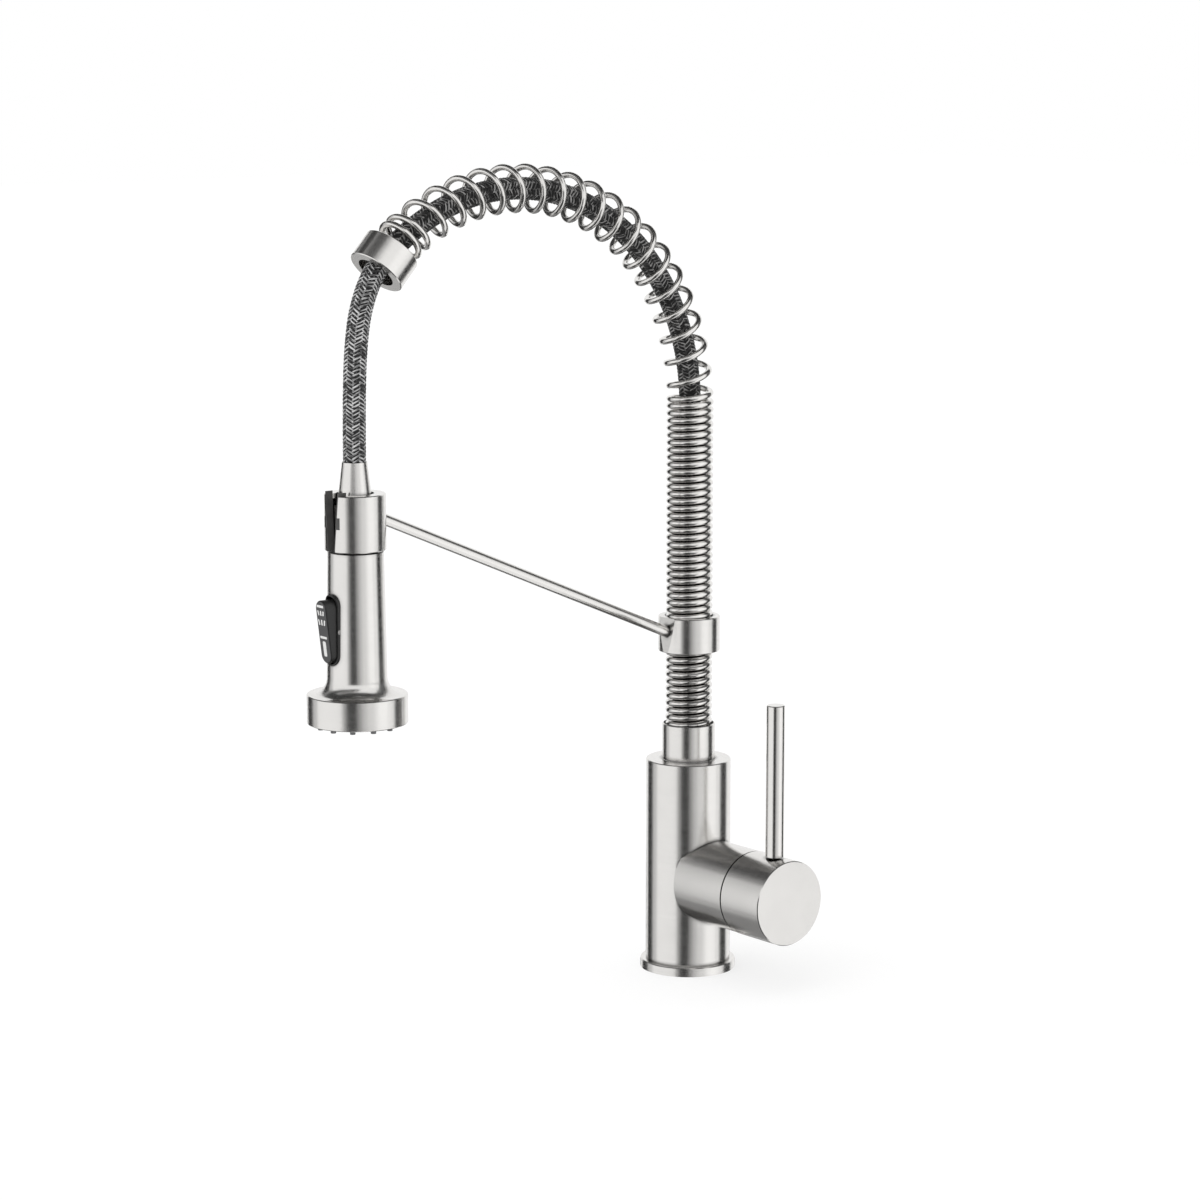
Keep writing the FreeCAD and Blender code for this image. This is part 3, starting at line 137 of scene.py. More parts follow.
# Places of a yarn's shaded, light and bright tones in the noise along it, and how dark the shaded one is
YARN_STOPS = (0.4, 0.5, 0.6)
YARN_SHADE = 0.12
YARN_SHEEN = 0.1
TWIST_SCALE = 4.0
TWIST_UNEVEN = 1.5

# Painted light and shade on the rocker: its colour changes from a lighter front to darker sides between two
# places on the way from its front, 0, to its sides, 1
LIT_FRONT_END = 0.12
SHADED_SIDE_START = 0.3

# Painted shade, a dark line painted into the steel's colour where pieces meet: how near the other surface is,
# the tone of the painted shade there, and the shares of open sky between which it fades
CREASE_SHADE_REACH = 0.0025
CREASE_SHADE_TONE = 0.25
CREASE_SHADE_SHUT = 0.5
CREASE_SHADE_OPEN = 0.95


def add_camera():
    data = bpy.data.cameras.new("camera")
    data.lens = CAMERA_LENS
    data.sensor_width = CAMERA_SENSOR
    data.clip_end = CAMERA_REACH
    camera = bpy.data.objects.new("camera", data)
    camera.location = CAMERA_PLACE
    camera.rotation_euler = (math.pi / 2 - CAMERA_TILT, 0, CAMERA_AZIMUTH)
    scene.collection.objects.link(camera)
    scene.camera = camera


add_camera()


def new_material(name, metallic=0.0, roughness=0.5):
    material = bpy.data.materials.new(name)
    material.use_nodes = True
    shader = material.node_tree.nodes["Principled BSDF"]
    shader.inputs["Metallic"].default_value = metallic
    shader.inputs["Roughness"].default_value = roughness
    return material, material.node_tree, shader


def add_node(tree, kind, **settings):
    node = tree.nodes.new(kind)
    for name, value in settings.items():
        setattr(node, name, value)
    return node


def place_coordinates(tree, scale=(1, 1, 1), source="Object", turn=UPRIGHT):
    """Coordinates of the surface, turned back by some degrees and stretched by a scale along each axis."""
    coordinates = add_node(tree, "ShaderNodeTexCoord")
    mapping = add_node(tree, "ShaderNodeMapping", vector_type="TEXTURE")
    mapping.inputs["Rotation"].default_value = [math.radians(angle) for angle in turn]
    mapping.inputs["Scale"].default_value = [1 / factor for factor in scale]
    tree.links.new(coordinates.outputs[source], mapping.inputs["Vector"])
    return mapping.outputs["Vector"]


def add_noise(tree, vector, scale, detail=2.0):
    noise = add_node(tree, "ShaderNodeTexNoise")
    noise.inputs["Scale"].default_value = scale
    noise.inputs["Detail"].default_value = detail
    tree.links.new(vector, noise.inputs["Vector"])
    return noise.outputs["Fac"]


def add_range(tree, value, low, high, start=NOISE_LOW, end=NOISE_HIGH):
    """A value between low and high as the input goes from start to end."""
    spread = add_node(tree, "ShaderNodeMapRange")
    spread.inputs["From Min"].default_value = start
    spread.inputs["From Max"].default_value = end
    spread.inputs["To Min"].default_value = low
    spread.inputs["To Max"].default_value = high
    tree.links.new(value, spread.inputs["Value"])
    return spread.outputs["Result"]


def add_colours(tree, value, stops):
    """A colour ramp through (place, colour) stops."""
    ramp = add_node(tree, "ShaderNodeValToRGB")
    elements = ramp.color_ramp.elements
    for element, (position, colour) in zip(elements, (stops[0], stops[-1])):
        element.position = position
        element.color = (*colour, 1)
    for position, colour in stops[1:-1]:
        elements.new(position).color = (*colour, 1)
    tree.links.new(value, ramp.inputs["Fac"])
    return ramp.outputs["Color"]


def add_uneven(tree, value, colour, tones):
    """A colour that noise takes between two shares of it."""
    low, high = tones
    return add_colours(tree, value, [(NOISE_LOW, tinted(colour, low)), (NOISE_HIGH, tinted(colour, high))])


def add_bump(tree, shader, height, relief):
    strength, distance = relief
    bump = add_node(tree, "ShaderNodeBump")
    bump.inputs["Strength"].default_value = strength
    bump.inputs["Distance"].default_value = distance
    tree.links.new(height, bump.inputs["Height"])
    tree.links.new(bump.outputs["Normal"], shader.inputs["Normal"])


def add_mix(tree, factor, first, second):
    mix = add_node(tree, "ShaderNodeMix", data_type="FLOAT")
    tree.links.new(factor, mix.inputs["Factor"])
    tree.links.new(first, mix.inputs["A"])
    tree.links.new(second, mix.inputs["B"])
    return mix.outputs["Result"]


def add_math(tree, operation, value, number):
    node = add_node(tree, "ShaderNodeMath", operation=operation)
    node.inputs[1].default_value = number
    tree.links.new(value, node.inputs[0])
    return node.outputs["Value"]


def tinted(colour, factor):
    return tuple(channel * factor for channel in colour)


def brush_lines(tree, turn, scale=BRUSH_SCALE, source="Object"):
    """Fine lines round an axis, which is the upright one turned by some degrees."""
    return add_noise(tree, place_coordinates(tree, scale, source, turn), 1.0, detail=3.0)


def add_painted_crease_shade(tree, colour):
    """Paints shade into a colour where another surface is very near, as in the line where two pieces meet."""
    near = add_node(tree, "ShaderNodeAmbientOcclusion", samples=8)
    near.inputs["Distance"].default_value = CREASE_SHADE_REACH
    shade = add_range(tree, near.outputs["AO"], CREASE_SHADE_TONE, 1, CREASE_SHADE_SHUT, CREASE_SHADE_OPEN)
    mix = add_node(tree, "ShaderNodeMix", data_type="RGBA", blend_type="MULTIPLY")
    mix.inputs["Factor"].default_value = 1.0
    tree.links.new(colour, mix.inputs["A"])
    tree.links.new(shade, mix.inputs["B"])
    return mix.outputs["Result"]


def finish_steel(tree, shader, colour, roughness, lines, painted_crease_shade=True):
    """Gives satin steel its slightly uneven colour, with painted shade where pieces meet unless asked not to,
    and its gloss and relief from the brush lines.
    """
    cloud = add_noise(tree, place_coordinates(tree), CLOUD_SCALE)
    clouded = add_uneven(tree, cloud, colour, STEEL_TONES)
    tree.links.new(add_painted_crease_shade(tree, clouded) if painted_crease_shade else clouded, shader.inputs["Base Color"])
    gloss = [roughness * share for share in STEEL_GLOSS]
    tree.links.new(add_range(tree, lines, *gloss), shader.inputs["Roughness"])
    add_bump(tree, shader, lines, BRUSH_RELIEF)


def brushed_steel(name, colour, roughness, turn=UPRIGHT, painted_crease_shade=True):
    material, tree, shader = new_material(name, metallic=1.0, roughness=roughness)
    finish_steel(tree, shader, colour, roughness, brush_lines(tree, turn), painted_crease_shade)
    return material


def drawn_steel(name, colour, roughness):
    """Wire with drawing lines along it."""
    material, tree, shader = new_material(name, metallic=1.0, roughness=roughness)
    lines = brush_lines(tree, UPRIGHT, DRAWN_SCALE, "UV")
    finish_steel(tree, shader, colour, roughness, lines, painted_crease_shade=False)
    return material


def body_steel(name, colour, roughness):
    """Steel brushed round the column, and round the side boss where that stands out from it."""
    material, tree, shader = new_material(name, metallic=1.0, roughness=roughness)
    flat = add_node(tree, "ShaderNodeVectorMath", operation="MULTIPLY")
    flat.inputs[1].default_value = (1, 1, 0)
    tree.links.new(place_coordinates(tree), flat.inputs[0])
    away = add_node(tree, "ShaderNodeVectorMath", operation="LENGTH")
    tree.links.new(flat.outputs["Vector"], away.inputs[0])
    on_boss = add_math(tree, "GREATER_THAN", away.outputs["Value"], BODY_RADIUS)
    lines = add_mix(tree, on_boss, brush_lines(tree, UPRIGHT), brush_lines(tree, SIDEWAYS))
    finish_steel(tree, shader, colour, roughness, lines)
    return material


def moulded_plastic(name, colour, roughness):
    """Plastic with a fine moulded grain and slightly uneven gloss."""
    material, tree, shader = new_material(name, roughness=roughness)
    fine = add_noise(tree, place_coordinates(tree), GRAIN_SCALE)
    broad = add_noise(tree, place_coordinates(tree), PATCH_SCALE)
    tree.links.new(add_uneven(tree, broad, colour, PLASTIC_TONES), shader.inputs["Base Color"])
    gloss = [roughness * share for share in PLASTIC_GLOSS]
    tree.links.new(add_range(tree, broad, *gloss), shader.inputs["Roughness"])
    add_bump(tree, shader, fine, GRAIN_RELIEF)
    return material


def machined_brass(name, colour):
    """Turned brass with rings left by the tool."""
    material, tree, shader = new_material(name, metallic=1.0, roughness=0.3)
    rings = add_noise(tree, place_coordinates(tree, TURNED_SCALE), 1.0, detail=3.0)
    tree.links.new(add_uneven(tree, rings, colour, BRASS_TONES), shader.inputs["Base Color"])
    tree.links.new(add_range(tree, rings, *BRASS_ROUGHNESS), shader.inputs["Roughness"])
    add_bump(tree, shader, rings, TURNED_RELIEF)
    return material


def braided_yarn(name, dark, light, fleck):
    """One carrier of the braid: a lighter yarn with bright flecks, and dark yarns on both sides of it."""
    material, tree, shader = new_material(name, roughness=0.72)
    tone = add_noise(tree, place_coordinates(tree, FLECK_SCALE, "UV"), 1.0, detail=1.0)
    yarn = add_colours(tree, tone, list(zip(YARN_STOPS, (tinted(light, YARN_SHADE), light, fleck))))
    split = add_node(tree, "ShaderNodeSeparateXYZ")
    tree.links.new(place_coordinates(tree, source="UV"), split.inputs["Vector"])
    share = add_math(tree, "FRACT", split.outputs["X"], 0)
    aside = add_math(tree, "ABSOLUTE", add_math(tree, "SUBTRACT", share, 0.5), 0)
    mix = add_node(tree, "ShaderNodeMix", data_type="RGBA")
    tree.links.new(add_range(tree, aside, 1, 0, YARN_EDGE, YARN_EDGE + YARN_FADE), mix.inputs["Factor"])
    mix.inputs["A"].default_value = (*dark, 1)
    tree.links.new(yarn, mix.inputs["B"])
    tree.links.new(mix.outputs["Result"], shader.inputs["Base Color"])
    shader.inputs["Sheen Weight"].default_value = YARN_SHEEN
    twist = add_node(tree, "ShaderNodeTexWave", wave_type="BANDS", bands_direction="X")
    twist.inputs["Scale"].default_value = TWIST_SCALE
    twist.inputs["Distortion"].default_value = TWIST_UNEVEN
    tree.links.new(place_coordinates(tree, source="UV"), twist.inputs["Vector"])
    add_bump(tree, shader, twist.outputs["Fac"], TWIST_RELIEF)
    return material


def rocker_painted_light_plastic(name, side, face):
    """Black plastic with painted light and shade: its front face, toward -Y of the part, is painted a lit dark
    grey, and its sides a shaded black.
    """
    material, tree, shader = new_material(name, roughness=0.4)
    fine = add_noise(tree, place_coordinates(tree), GRAIN_SCALE)
    split = add_node(tree, "ShaderNodeSeparateXYZ")
    tree.links.new(place_coordinates(tree, source="Normal"), split.inputs["Vector"])
    stops = [(0.0, face), (LIT_FRONT_END, face), (SHADED_SIDE_START, side), (1.0, side)]
    front = add_range(tree, split.outputs["Y"], 0, 1, -1, 0)
    tree.links.new(add_colours(tree, front, stops), shader.inputs["Base Color"])
    tree.links.new(add_range(tree, fine, *ROCKER_ROUGHNESS), shader.inputs["Roughness"])
    add_bump(tree, shader, fine, GRAIN_RELIEF)
    return material


def printed_white():
    material, tree, shader = new_material("pictogram_print", roughness=0.45)
    speckle = add_noise(tree, place_coordinates(tree), SPECKLE_SCALE)
    stops = [(NOISE_LOW, (0.72, 0.72, 0.71)), (NOISE_HIGH, (0.84, 0.84, 0.83))]
    tree.links.new(add_colours(tree, speckle, stops), shader.inputs["Base Color"])
    return material


steel_body = body_steel("steel_body", STEEL, SATIN)
steel_upright = brushed_steel("steel_upright", STEEL, SATIN)
steel_flange = brushed_steel("steel_flange", STEEL, SATIN, painted_crease_shade=False)
steel_sideways = brushed_steel("steel_sideways", STEEL, SATIN, SIDEWAYS)
steel_ring = brushed_steel("steel_ring", STEEL, SATIN, RING_TURN)
steel_arm = brushed_steel("steel_arm", STEEL, FINE_SATIN, ARM_TURN)
steel_lever = brushed_steel("steel_lever", STEEL, FINE_SATIN)
steel_wire = drawn_steel("steel_wire", STEEL, FINE_SATIN)
# Riser tube painted nearly black, as painted shade in the gaps between the spring's coils
tube_shade_steel = brushed_steel("tube_shade_steel", tinted(STEEL, 0.05), 0.5)
# Dome cover painted nearly black, as painted shade in the seam between the side boss and the handle cap
seam_shade_steel = brushed_steel("seam_shade_steel", tinted(STEEL, 0.02), 0.6, SIDEWAYS)
steel_screw = brushed_steel("steel_screw", tinted(STEEL, 0.5), 0.35)
black_plastic = moulded_plastic("black_plastic", BLACK, 0.34)
# The rocker's front face is painted lighter and its sides darker, as light and shade fall on them
rocker_black = rocker_painted_light_plastic("rocker_black", BLACK, (0.07, 0.07, 0.072))
liner_plastic = moulded_plastic("liner_plastic", (0.075, 0.073, 0.071), 0.5)
grey_plastic = moulded_plastic("grey_plastic", (0.12, 0.12, 0.125), 0.5)
inner_plastic = moulded_plastic("inner_plastic", (0.7, 0.7, 0.68), 0.45)
ceramic = moulded_plastic("ceramic", (0.82, 0.8, 0.76), 0.25)
black_rubber = moulded_plastic("black_rubber", (0.02, 0.02, 0.02), 0.75)
grey_rubber = moulded_plastic("grey_rubber", (0.2, 0.2, 0.205), 0.7)
brass = machined_brass("brass", (0.72, 0.55, 0.27))

NODE_MATERIALS = {
    "base_flange": steel_flange,
    "body_shell": steel_body,
    "dome_cover": seam_shade_steel,
    "handle_cap": steel_sideways,
    "handle_lever": steel_lever,
    "spout_sleeve": steel_upright,
    "end_ring": steel_ring,
    "arm_ring": steel_upright,
    "arm_rod": steel_arm,
    "dock_sleeve": steel_upright,
    "hose_ferrule": steel_upright,
    "spray_body": steel_upright,
    "snap_ring": steel_screw,
    "swivel_clip": steel_screw,
    "stem_pin": steel_screw,
    "rocker_pin": steel_screw,
    "riser_tube": tube_shade_steel,
    "handle_set_screw": steel_screw,
    "arm_set_screw": steel_screw,
    "cartridge_nut": brass,
    "hose_coupling": brass,
    "cartridge_stem": brass,
    "rocker_button": rocker_black,
    "rocker_bezel": black_plastic,
    "dock_liner": liner_plastic,
    "end_ring_bush": black_plastic,
    "spray_face": grey_plastic,
    "aerator": grey_plastic,
    "cartridge_base": inner_plastic,
    "cartridge_housing": inner_plastic,
    "stem_carrier": inner_plastic,
    "waterway_insert": inner_plastic,
    "check_valve": inner_plastic,
    "diverter_spool": inner_plastic,
    "upper_swivel_bush": inner_plastic,
    "lower_swivel_bush": inner_plastic,
    "fixed_disc": ceramic,
    "moving_disc": ceramic,
    "deck_gasket": black_rubber,
    "port_seals": black_rubber,
    "swivel_seal": black_rubber,
    "filter_washer": black_rubber,
    "nozzle_mat": grey_rubber,
}
for node_name, material in NODE_MATERIALS.items():
    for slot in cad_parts[node_name].material_slots:
        slot.material = material


def new_piece(name, vertices, faces, materials, uvs=None, face_materials=None):
    """A smooth mesh piece, with one UV pair for each vertex if given."""
    mesh = bpy.data.meshes.new(name)
    mesh.from_pydata(vertices, [], faces)
    for material in materials:
        mesh.materials.append(material)
    mesh.polygons.foreach_set("use_smooth", [True] * len(mesh.polygons))
    if face_materials:
        mesh.polygons.foreach_set("material_index", face_materials)
    if uvs:
        layer = mesh.uv_layers.new(name="UVMap")
        for loop in mesh.loops:
            layer.data[loop.index].uv = uvs[loop.vertex_index]
    mesh.update()
    piece = bpy.data.objects.new(name, mesh)
    scene.collection.objects.link(piece)
    return piece


def carried_frames(points):
    """Tangent and two crossing directions at each point of a line, carried along without twisting."""
    count = len(points)
    tangents = []
    for i in range(count):
        ahead = points[min(i + 1, count - 1)]
        behind = points[max(i - 1, 0)]
        tangents.append((ahead - behind).normalized())
    across = tangents[0].orthogonal().normalized()
    frames = []
    for tangent in tangents:
        across = (across - tangent * across.dot(tangent)).normalized()
        frames.append((tangent, across, tangent.cross(across)))
    return frames


def line_lengths(points):
    """How far along the line each point is."""
    lengths = [0.0]
    for before, after in zip(points, points[1:]):
        lengths.append(lengths[-1] + (after - before).length)
    return lengths


class MeshParts:
    """Vertices, faces, UVs and face materials gathered from several tubes and ribbons."""

    def __init__(self):
        self.vertices = []
        self.faces = []
        self.uvs = []
        self.face_materials = []

    def add_strip(self, rows, uvs, closed, material):
        """Joins rows of points with quads, each row closed into a ring if asked."""
        first = len(self.vertices)
        width = len(rows[0])
        for row, row_uvs in zip(rows, uvs):
            self.vertices += row
            self.uvs += row_uvs
        span = width if closed else width - 1
        for i in range(len(rows) - 1):
            for k in range(span):
                a = first + i * width + k
                b = first + i * width + (k + 1) % width
                self.faces.append((a, b, b + width, a + width))
                self.face_materials.append(material)

    def add_cap(self, ring, uvs, material):
        first = len(self.vertices)
        self.vertices += ring
        self.uvs += uvs
        self.faces.append(tuple(range(first, first + len(ring))))
        self.face_materials.append(material)

    def add_tube(self, points, radius, sides, material):
        angles = [2 * math.pi * k / sides for k in range(sides)]
        rows = []
        uvs = []
        for (_, across, beside), point, length in zip(carried_frames(points), points, line_lengths(points)):
            rows.append([point + (across * math.cos(a) + beside * math.sin(a)) * radius for a in angles])
            uvs.append([(k / sides, length) for k in range(sides)])
        self.add_strip(rows, uvs, True, material)
        self.add_cap(rows[0][::-1], uvs[0], material)
        self.add_cap(rows[-1], uvs[-1], material)


# Braid of the hose, in two sets of carriers that go over two and under two
CARRIERS = 10
BRAID_PITCH = 0.020
CARRIER_WIDTH = 0.00168
CARRIER_CROWN = 0.00022
BRAID_RADIUS = 0.00562
BRAID_WAVE = 0.00016
CORE_RADIUS = 0.0055
CORE_SIDES = 20
CORE_STEP = 0.003
BRAID_STEP = 0.00046

# Places of the two materials in a hose's list
YARN = 0
CORE = 1


def carrier_rise(index, crossing, way):
    """Where a carrier lies between under, -1, and over, 1, at a crossing of the braid."""
    place = 2 * index + way * crossing - 0.5
    return way * math.cos(math.pi / 2 * place)


def add_braid(parts, points, material):
    frames = carried_frames(points)
    lengths = line_lengths(points)
    lean = math.atan2(2 * math.pi * BRAID_RADIUS, BRAID_PITCH)
    for way in (1, -1):
        for index in range(CARRIERS):
            rows = []
            uvs = []
            for (tangent, across, beside), point, length in zip(frames, points, lengths):
                crossing = 2 * length * CARRIERS / BRAID_PITCH
                angle = 2 * math.pi * (index / CARRIERS + way * length / BRAID_PITCH)
                outward = across * math.cos(angle) + beside * math.sin(angle)
                around = beside * math.cos(angle) - across * math.sin(angle)
                edgeways = around * math.cos(lean) - tangent * (way * math.sin(lean))
                radius = BRAID_RADIUS + BRAID_WAVE * carrier_rise(index, crossing, way)
                centre = point + outward * radius
                side = edgeways * (CARRIER_WIDTH / 2)
                rows.append([centre - side, centre + outward * CARRIER_CROWN, centre + side])
                uvs.append([(index + share, length) for share in (0.0, 0.5, 1.0)])
            parts.add_strip(rows, uvs, False, material)


def spline_points(name, route, resolution):
    """Points read from a NURBS spline that has the route as its control points."""
    curve = bpy.data.curves.new(name, "CURVE")
    curve.dimensions = "3D"
    spline = curve.splines.new("NURBS")
    spline.points.add(len(route) - 1)
    for control, (y, z) in zip(spline.points, route):
        control.co = (0, y, z, 1)
    spline.order_u = DROP_ORDER
    spline.use_endpoint_u = True
    spline.resolution_u = resolution
    holder = bpy.data.objects.new(name, curve)
    mesh = bpy.data.meshes.new_from_object(holder)
    points = [vertex.co.copy() for vertex in mesh.vertices]
    bpy.data.objects.remove(holder)
    bpy.data.curves.remove(curve)
    bpy.data.meshes.remove(mesh)
    return points


def along_arch(height, run):
    """Point, tangent and outward normal on the hose's line, a run above a height on the column."""
    column = ARCH_START - height
    if run <= column:
        return Vector((0, 0, height + run)), Vector((0, 0, 1)), Vector((0, 1, 0))
    turn = (run - column) / ARCH_RADIUS
    outward = Vector((0, math.cos(turn), math.sin(turn)))
    tangent = Vector((0, -math.sin(turn), math.cos(turn)))
    return Vector((0, -ARCH_RADIUS, ARCH_START)) + outward * ARCH_RADIUS, tangent, outward


def line_between(height, last_run, step):
    count = math.ceil(last_run / step)
    return [along_arch(height, last_run * i / count)[0] for i in range(count + 1)]


drop_yarn = braided_yarn("drop_yarn", (0.008, 0.008, 0.0085), (0.31, 0.31, 0.312), (0.74, 0.74, 0.74))
# The arch's yarn is a shaded copy of the hanging hose's yarn: the same hose, painted darker as painted shade
# from the spring round it
shaded_riser_yarn = braided_yarn("shaded_riser_yarn", (0.003, 0.003, 0.0031), (0.055, 0.054, 0.053), (0.44, 0.435, 0.43))
hose_core = moulded_plastic("hose_core", (0.012, 0.012, 0.012), 0.8)


def hanging_hose():
    points = spline_points("drop_route", DROP_ROUTE, DROP_RESOLUTION)
    parts = MeshParts()
    parts.add_tube(points, CORE_RADIUS, CORE_SIDES, CORE)
    add_braid(parts, points, YARN)
    hose = new_piece("hanging_hose", parts.vertices, parts.faces, [drop_yarn, hose_core],
                     parts.uvs, parts.face_materials)
    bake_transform(hose)
    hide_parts("hose_drop")


def arch_hose():
    arch_run = ARCH_RADIUS * ARCH_SWEEP
    parts = MeshParts()
    core_line = line_between(HOSE_LOW, ARCH_START - HOSE_LOW + arch_run, CORE_STEP)
    parts.add_tube(core_line, CORE_RADIUS, CORE_SIDES, CORE)
    shown_from = TUBE_TOP - HOSE_RADIUS
    add_braid(parts, line_between(shown_from, ARCH_START - shown_from + arch_run, BRAID_STEP), YARN)
    hose = new_piece("arch_hose", parts.vertices, parts.faces, [shaded_riser_yarn, hose_core],
                     parts.uvs, parts.face_materials)
    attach(hose, "spout")
    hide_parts("hose_riser")


# Spring: one round wire, close-wound up the column and open round the arch
SPRING_LENGTH = ARCH_START - SPRING_LOW + ARCH_RADIUS * ARCH_SWEEP - SPRING_END_GAP
SPRING_TURNS = CLOSED_TURNS + OPEN_TURNS + END_TURNS
OPEN_PITCH = CLOSED_PITCH + (SPRING_LENGTH - CLOSED_PITCH * SPRING_TURNS) / (OPEN_TURNS - 1)
TURN_POINTS = 36
WIRE_SIDES = 12


def spring_run(turn):
    """How far along the line the wire has climbed after so many turns."""
    opened = min(max(turn - CLOSED_TURNS, 0), OPEN_TURNS)
    if opened < 1:
        spread = opened**2 / 2
    elif opened < OPEN_TURNS - 1:
        spread = opened - 0.5
    else:
        spread = OPEN_TURNS - 1 - (OPEN_TURNS - opened)**2 / 2
    return CLOSED_PITCH * turn + (OPEN_PITCH - CLOSED_PITCH) * spread


def wire_point(turn):
    centre, tangent, outward = along_arch(SPRING_LOW, spring_run(turn))
    angle = 2 * math.pi * turn
    sideways = tangent.cross(outward)
    return centre + (outward * math.cos(angle) + sideways * math.sin(angle)) * COIL_RADIUS


def round_spring():
    count = round(SPRING_TURNS * TURN_POINTS)
    parts = MeshParts()
    parts.add_tube([wire_point(i / TURN_POINTS) for i in range(count + 1)], WIRE_RADIUS, WIRE_SIDES, 0)
    spring = new_piece("round_spring", parts.vertices, parts.faces, [steel_wire], parts.uvs)
    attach(spring, "spout")
    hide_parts("coil_spring")


hanging_hose()
arch_hose()
round_spring()

# Pictograms on the rocker's face, as (across, down from its top, width, height, slant) in metres and degrees
PICTOGRAMS = [
    (0, 0.0030, 0.0058, 0.0013, 0),
    (-0.0021, 0.0066, 0.0011, 0.0026, 14),
    (0, 0.0066, 0.0011, 0.0026, 0),
    (0.0021, 0.0066, 0.0011, 0.0026, -14),
    (-0.0023, 0.0115, 0.0011, 0.0030, 14),
    (0, 0.0115, 0.0011, 0.0030, 0),
    (0.0023, 0.0115, 0.0011, 0.0030, -14),
    (0, 0.0194, 0.0058, 0.0013, 0),
    (0, 0.0254, 0.0027, 0.0080, 0),
]
PRINT_RISE = 0.00004
CORNER_SHARE = 0.3
CORNER_POINTS = 4
ROCKER_TOP_Y = HEAD_AXIS_Y - 0.0228
ROCKER_LOW_Y = HEAD_AXIS_Y - 0.0186


def rocker_pictograms():
    """Printed marks for spray and stream, rounded at their corners, just proud of the rocker's face."""
    low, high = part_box("rocker_button")
    top = Vector((0, ROCKER_TOP_Y, high.z))
    downward = (Vector((0, ROCKER_LOW_Y, low.z)) - top).normalized()
    outward = downward.cross(Vector((1, 0, 0))).normalized()
    shape = bmesh.new()
    for across, down, width, height, slant in PICTOGRAMS:
        corner = min(width, height) * CORNER_SHARE
        turn = math.radians(slant)
        ring = []
        for sx, sy, first in ((1, 1, 0), (-1, 1, 90), (-1, -1, 180), (1, -1, 270)):
            for step in range(CORNER_POINTS):
                angle = math.radians(first + 90 * step / (CORNER_POINTS - 1))
                x = sx * (width / 2 - corner) + corner * math.cos(angle)
                y = sy * (height / 2 - corner) + corner * math.sin(angle)
                x, y = x * math.cos(turn) - y * math.sin(turn), x * math.sin(turn) + y * math.cos(turn)
                place = top + downward * (down - y) + Vector((across + x, 0, 0)) + outward * PRINT_RISE
                ring.append(shape.verts.new(place))
        shape.faces.new(ring)
    bmesh.ops.recalc_face_normals(shape, faces=shape.faces)
    mesh = bpy.data.meshes.new("rocker_pictograms")
    shape.to_mesh(mesh)
    shape.free()
    mesh.materials.append(printed_white())
    marks = bpy.data.objects.new("rocker_pictograms", mesh)
    scene.collection.objects.link(marks)
    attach(marks, "rocker")


rocker_pictograms()

# Studio: white floor and world, one soft lamp, and flags from dark to bright that only reflections see
WORLD_LIGHT = 0.8
SUN_LIGHT = 0.95
SUN_SPREAD = math.radians(70)
SUN_TILT = math.radians(38)
SUN_TURN = math.radians(50)
FLOOR_HALF = 8.0
FLOOR_WHITE = 0.9
FLOOR_GLOW = 0.68
FLOOR_SHADE = 0.35
STUDIO_MIDDLE = Vector((0, -0.11, 0.23))

# Flags, as (name, tone, distance in metres, left and right of the camera, low and high in degrees)
FLAGS = [
    ("camera_flag", 0.045, 4.0, -22, 2, -75, 8),
    ("left_step_flag", 0.4, 4.0, -31, -22, -75, 8),
    ("dark_grey_flag", 0.36, 4.0, 2, 12, -75, 8),
    ("grey_flag", 0.62, 4.0, 12, 24, -75, 8),
    ("pale_grey_flag", 0.82, 4.0, 24, 42, -75, 8),
    ("bright_panel", 1.15, 4.0, 50, 78, -40, 25),
    ("upper_flag", 0.05, 3.8, -150, -100, 36, 59),
    ("upper_edge_flag", 0.3, 3.8, -150, -100, 28, 36),
    ("roof_flag", 0.05, 3.7, -180, 180, 59, 88),
    ("roof_edge_flag", 0.3, 3.7, -100, -12, 46, 59),
    ("roof_step_flag", 0.6, 3.7, -12, 6, 46, 59),
    ("side_flag", 0.12, 3.6, 92, 120, 2, 59),
    ("low_flag", 0.25, 3.8, -180, -100, -80, -36),
    ("low_edge_flag", 0.5, 3.8, -180, -100, -36, -28),
    ("front_low_flag", 0.06, 3.8, -100, 45, -84, -28),
    ("rear_flag", 0.15, 3.9, 165, 195, -45, -16),
    ("left_grey_flag", 0.62, 4.3, -118, -98, -28, 28),
    ("front_upper_flag", 0.04, 3.8, -100, 10, 34, 46),
]
FLAG_STEP = 5

# Round flag behind the object, as (name, tone, distance, right of the camera, inner and outer angle in degrees)
BACK_FLAG = ("back_flag", 0.03, 4.2, 170, 46, 74)
RING_STEPS = 48

# Level flag above the lever, in metres, and in degrees to the right of the camera
HANDLE_FLAG_TONE = 0.12
HANDLE_FLAG_STEPS = 28
HANDLE_FLAG_HEIGHT = 0.2
HANDLE_FLAG_REACH = (0.04, 0.3)
HANDLE_FLAG_SPAN = (-10, 110)


def add_shown_rays(tree):
    """One for rays of the camera, reflections and refractions, and none for rays that only carry light."""
    path = add_node(tree, "ShaderNodeLightPath")
    camera_or_glossy = add_node(tree, "ShaderNodeMath", operation="ADD", use_clamp=True)
    tree.links.new(path.outputs["Is Camera Ray"], camera_or_glossy.inputs[0])
    tree.links.new(path.outputs["Is Glossy Ray"], camera_or_glossy.inputs[1])
    shown = add_node(tree, "ShaderNodeMath", operation="ADD", use_clamp=True)
    tree.links.new(camera_or_glossy.outputs["Value"], shown.inputs[0])
    tree.links.new(path.outputs["Is Transmission Ray"], shown.inputs[1])
    return shown.outputs["Value"]


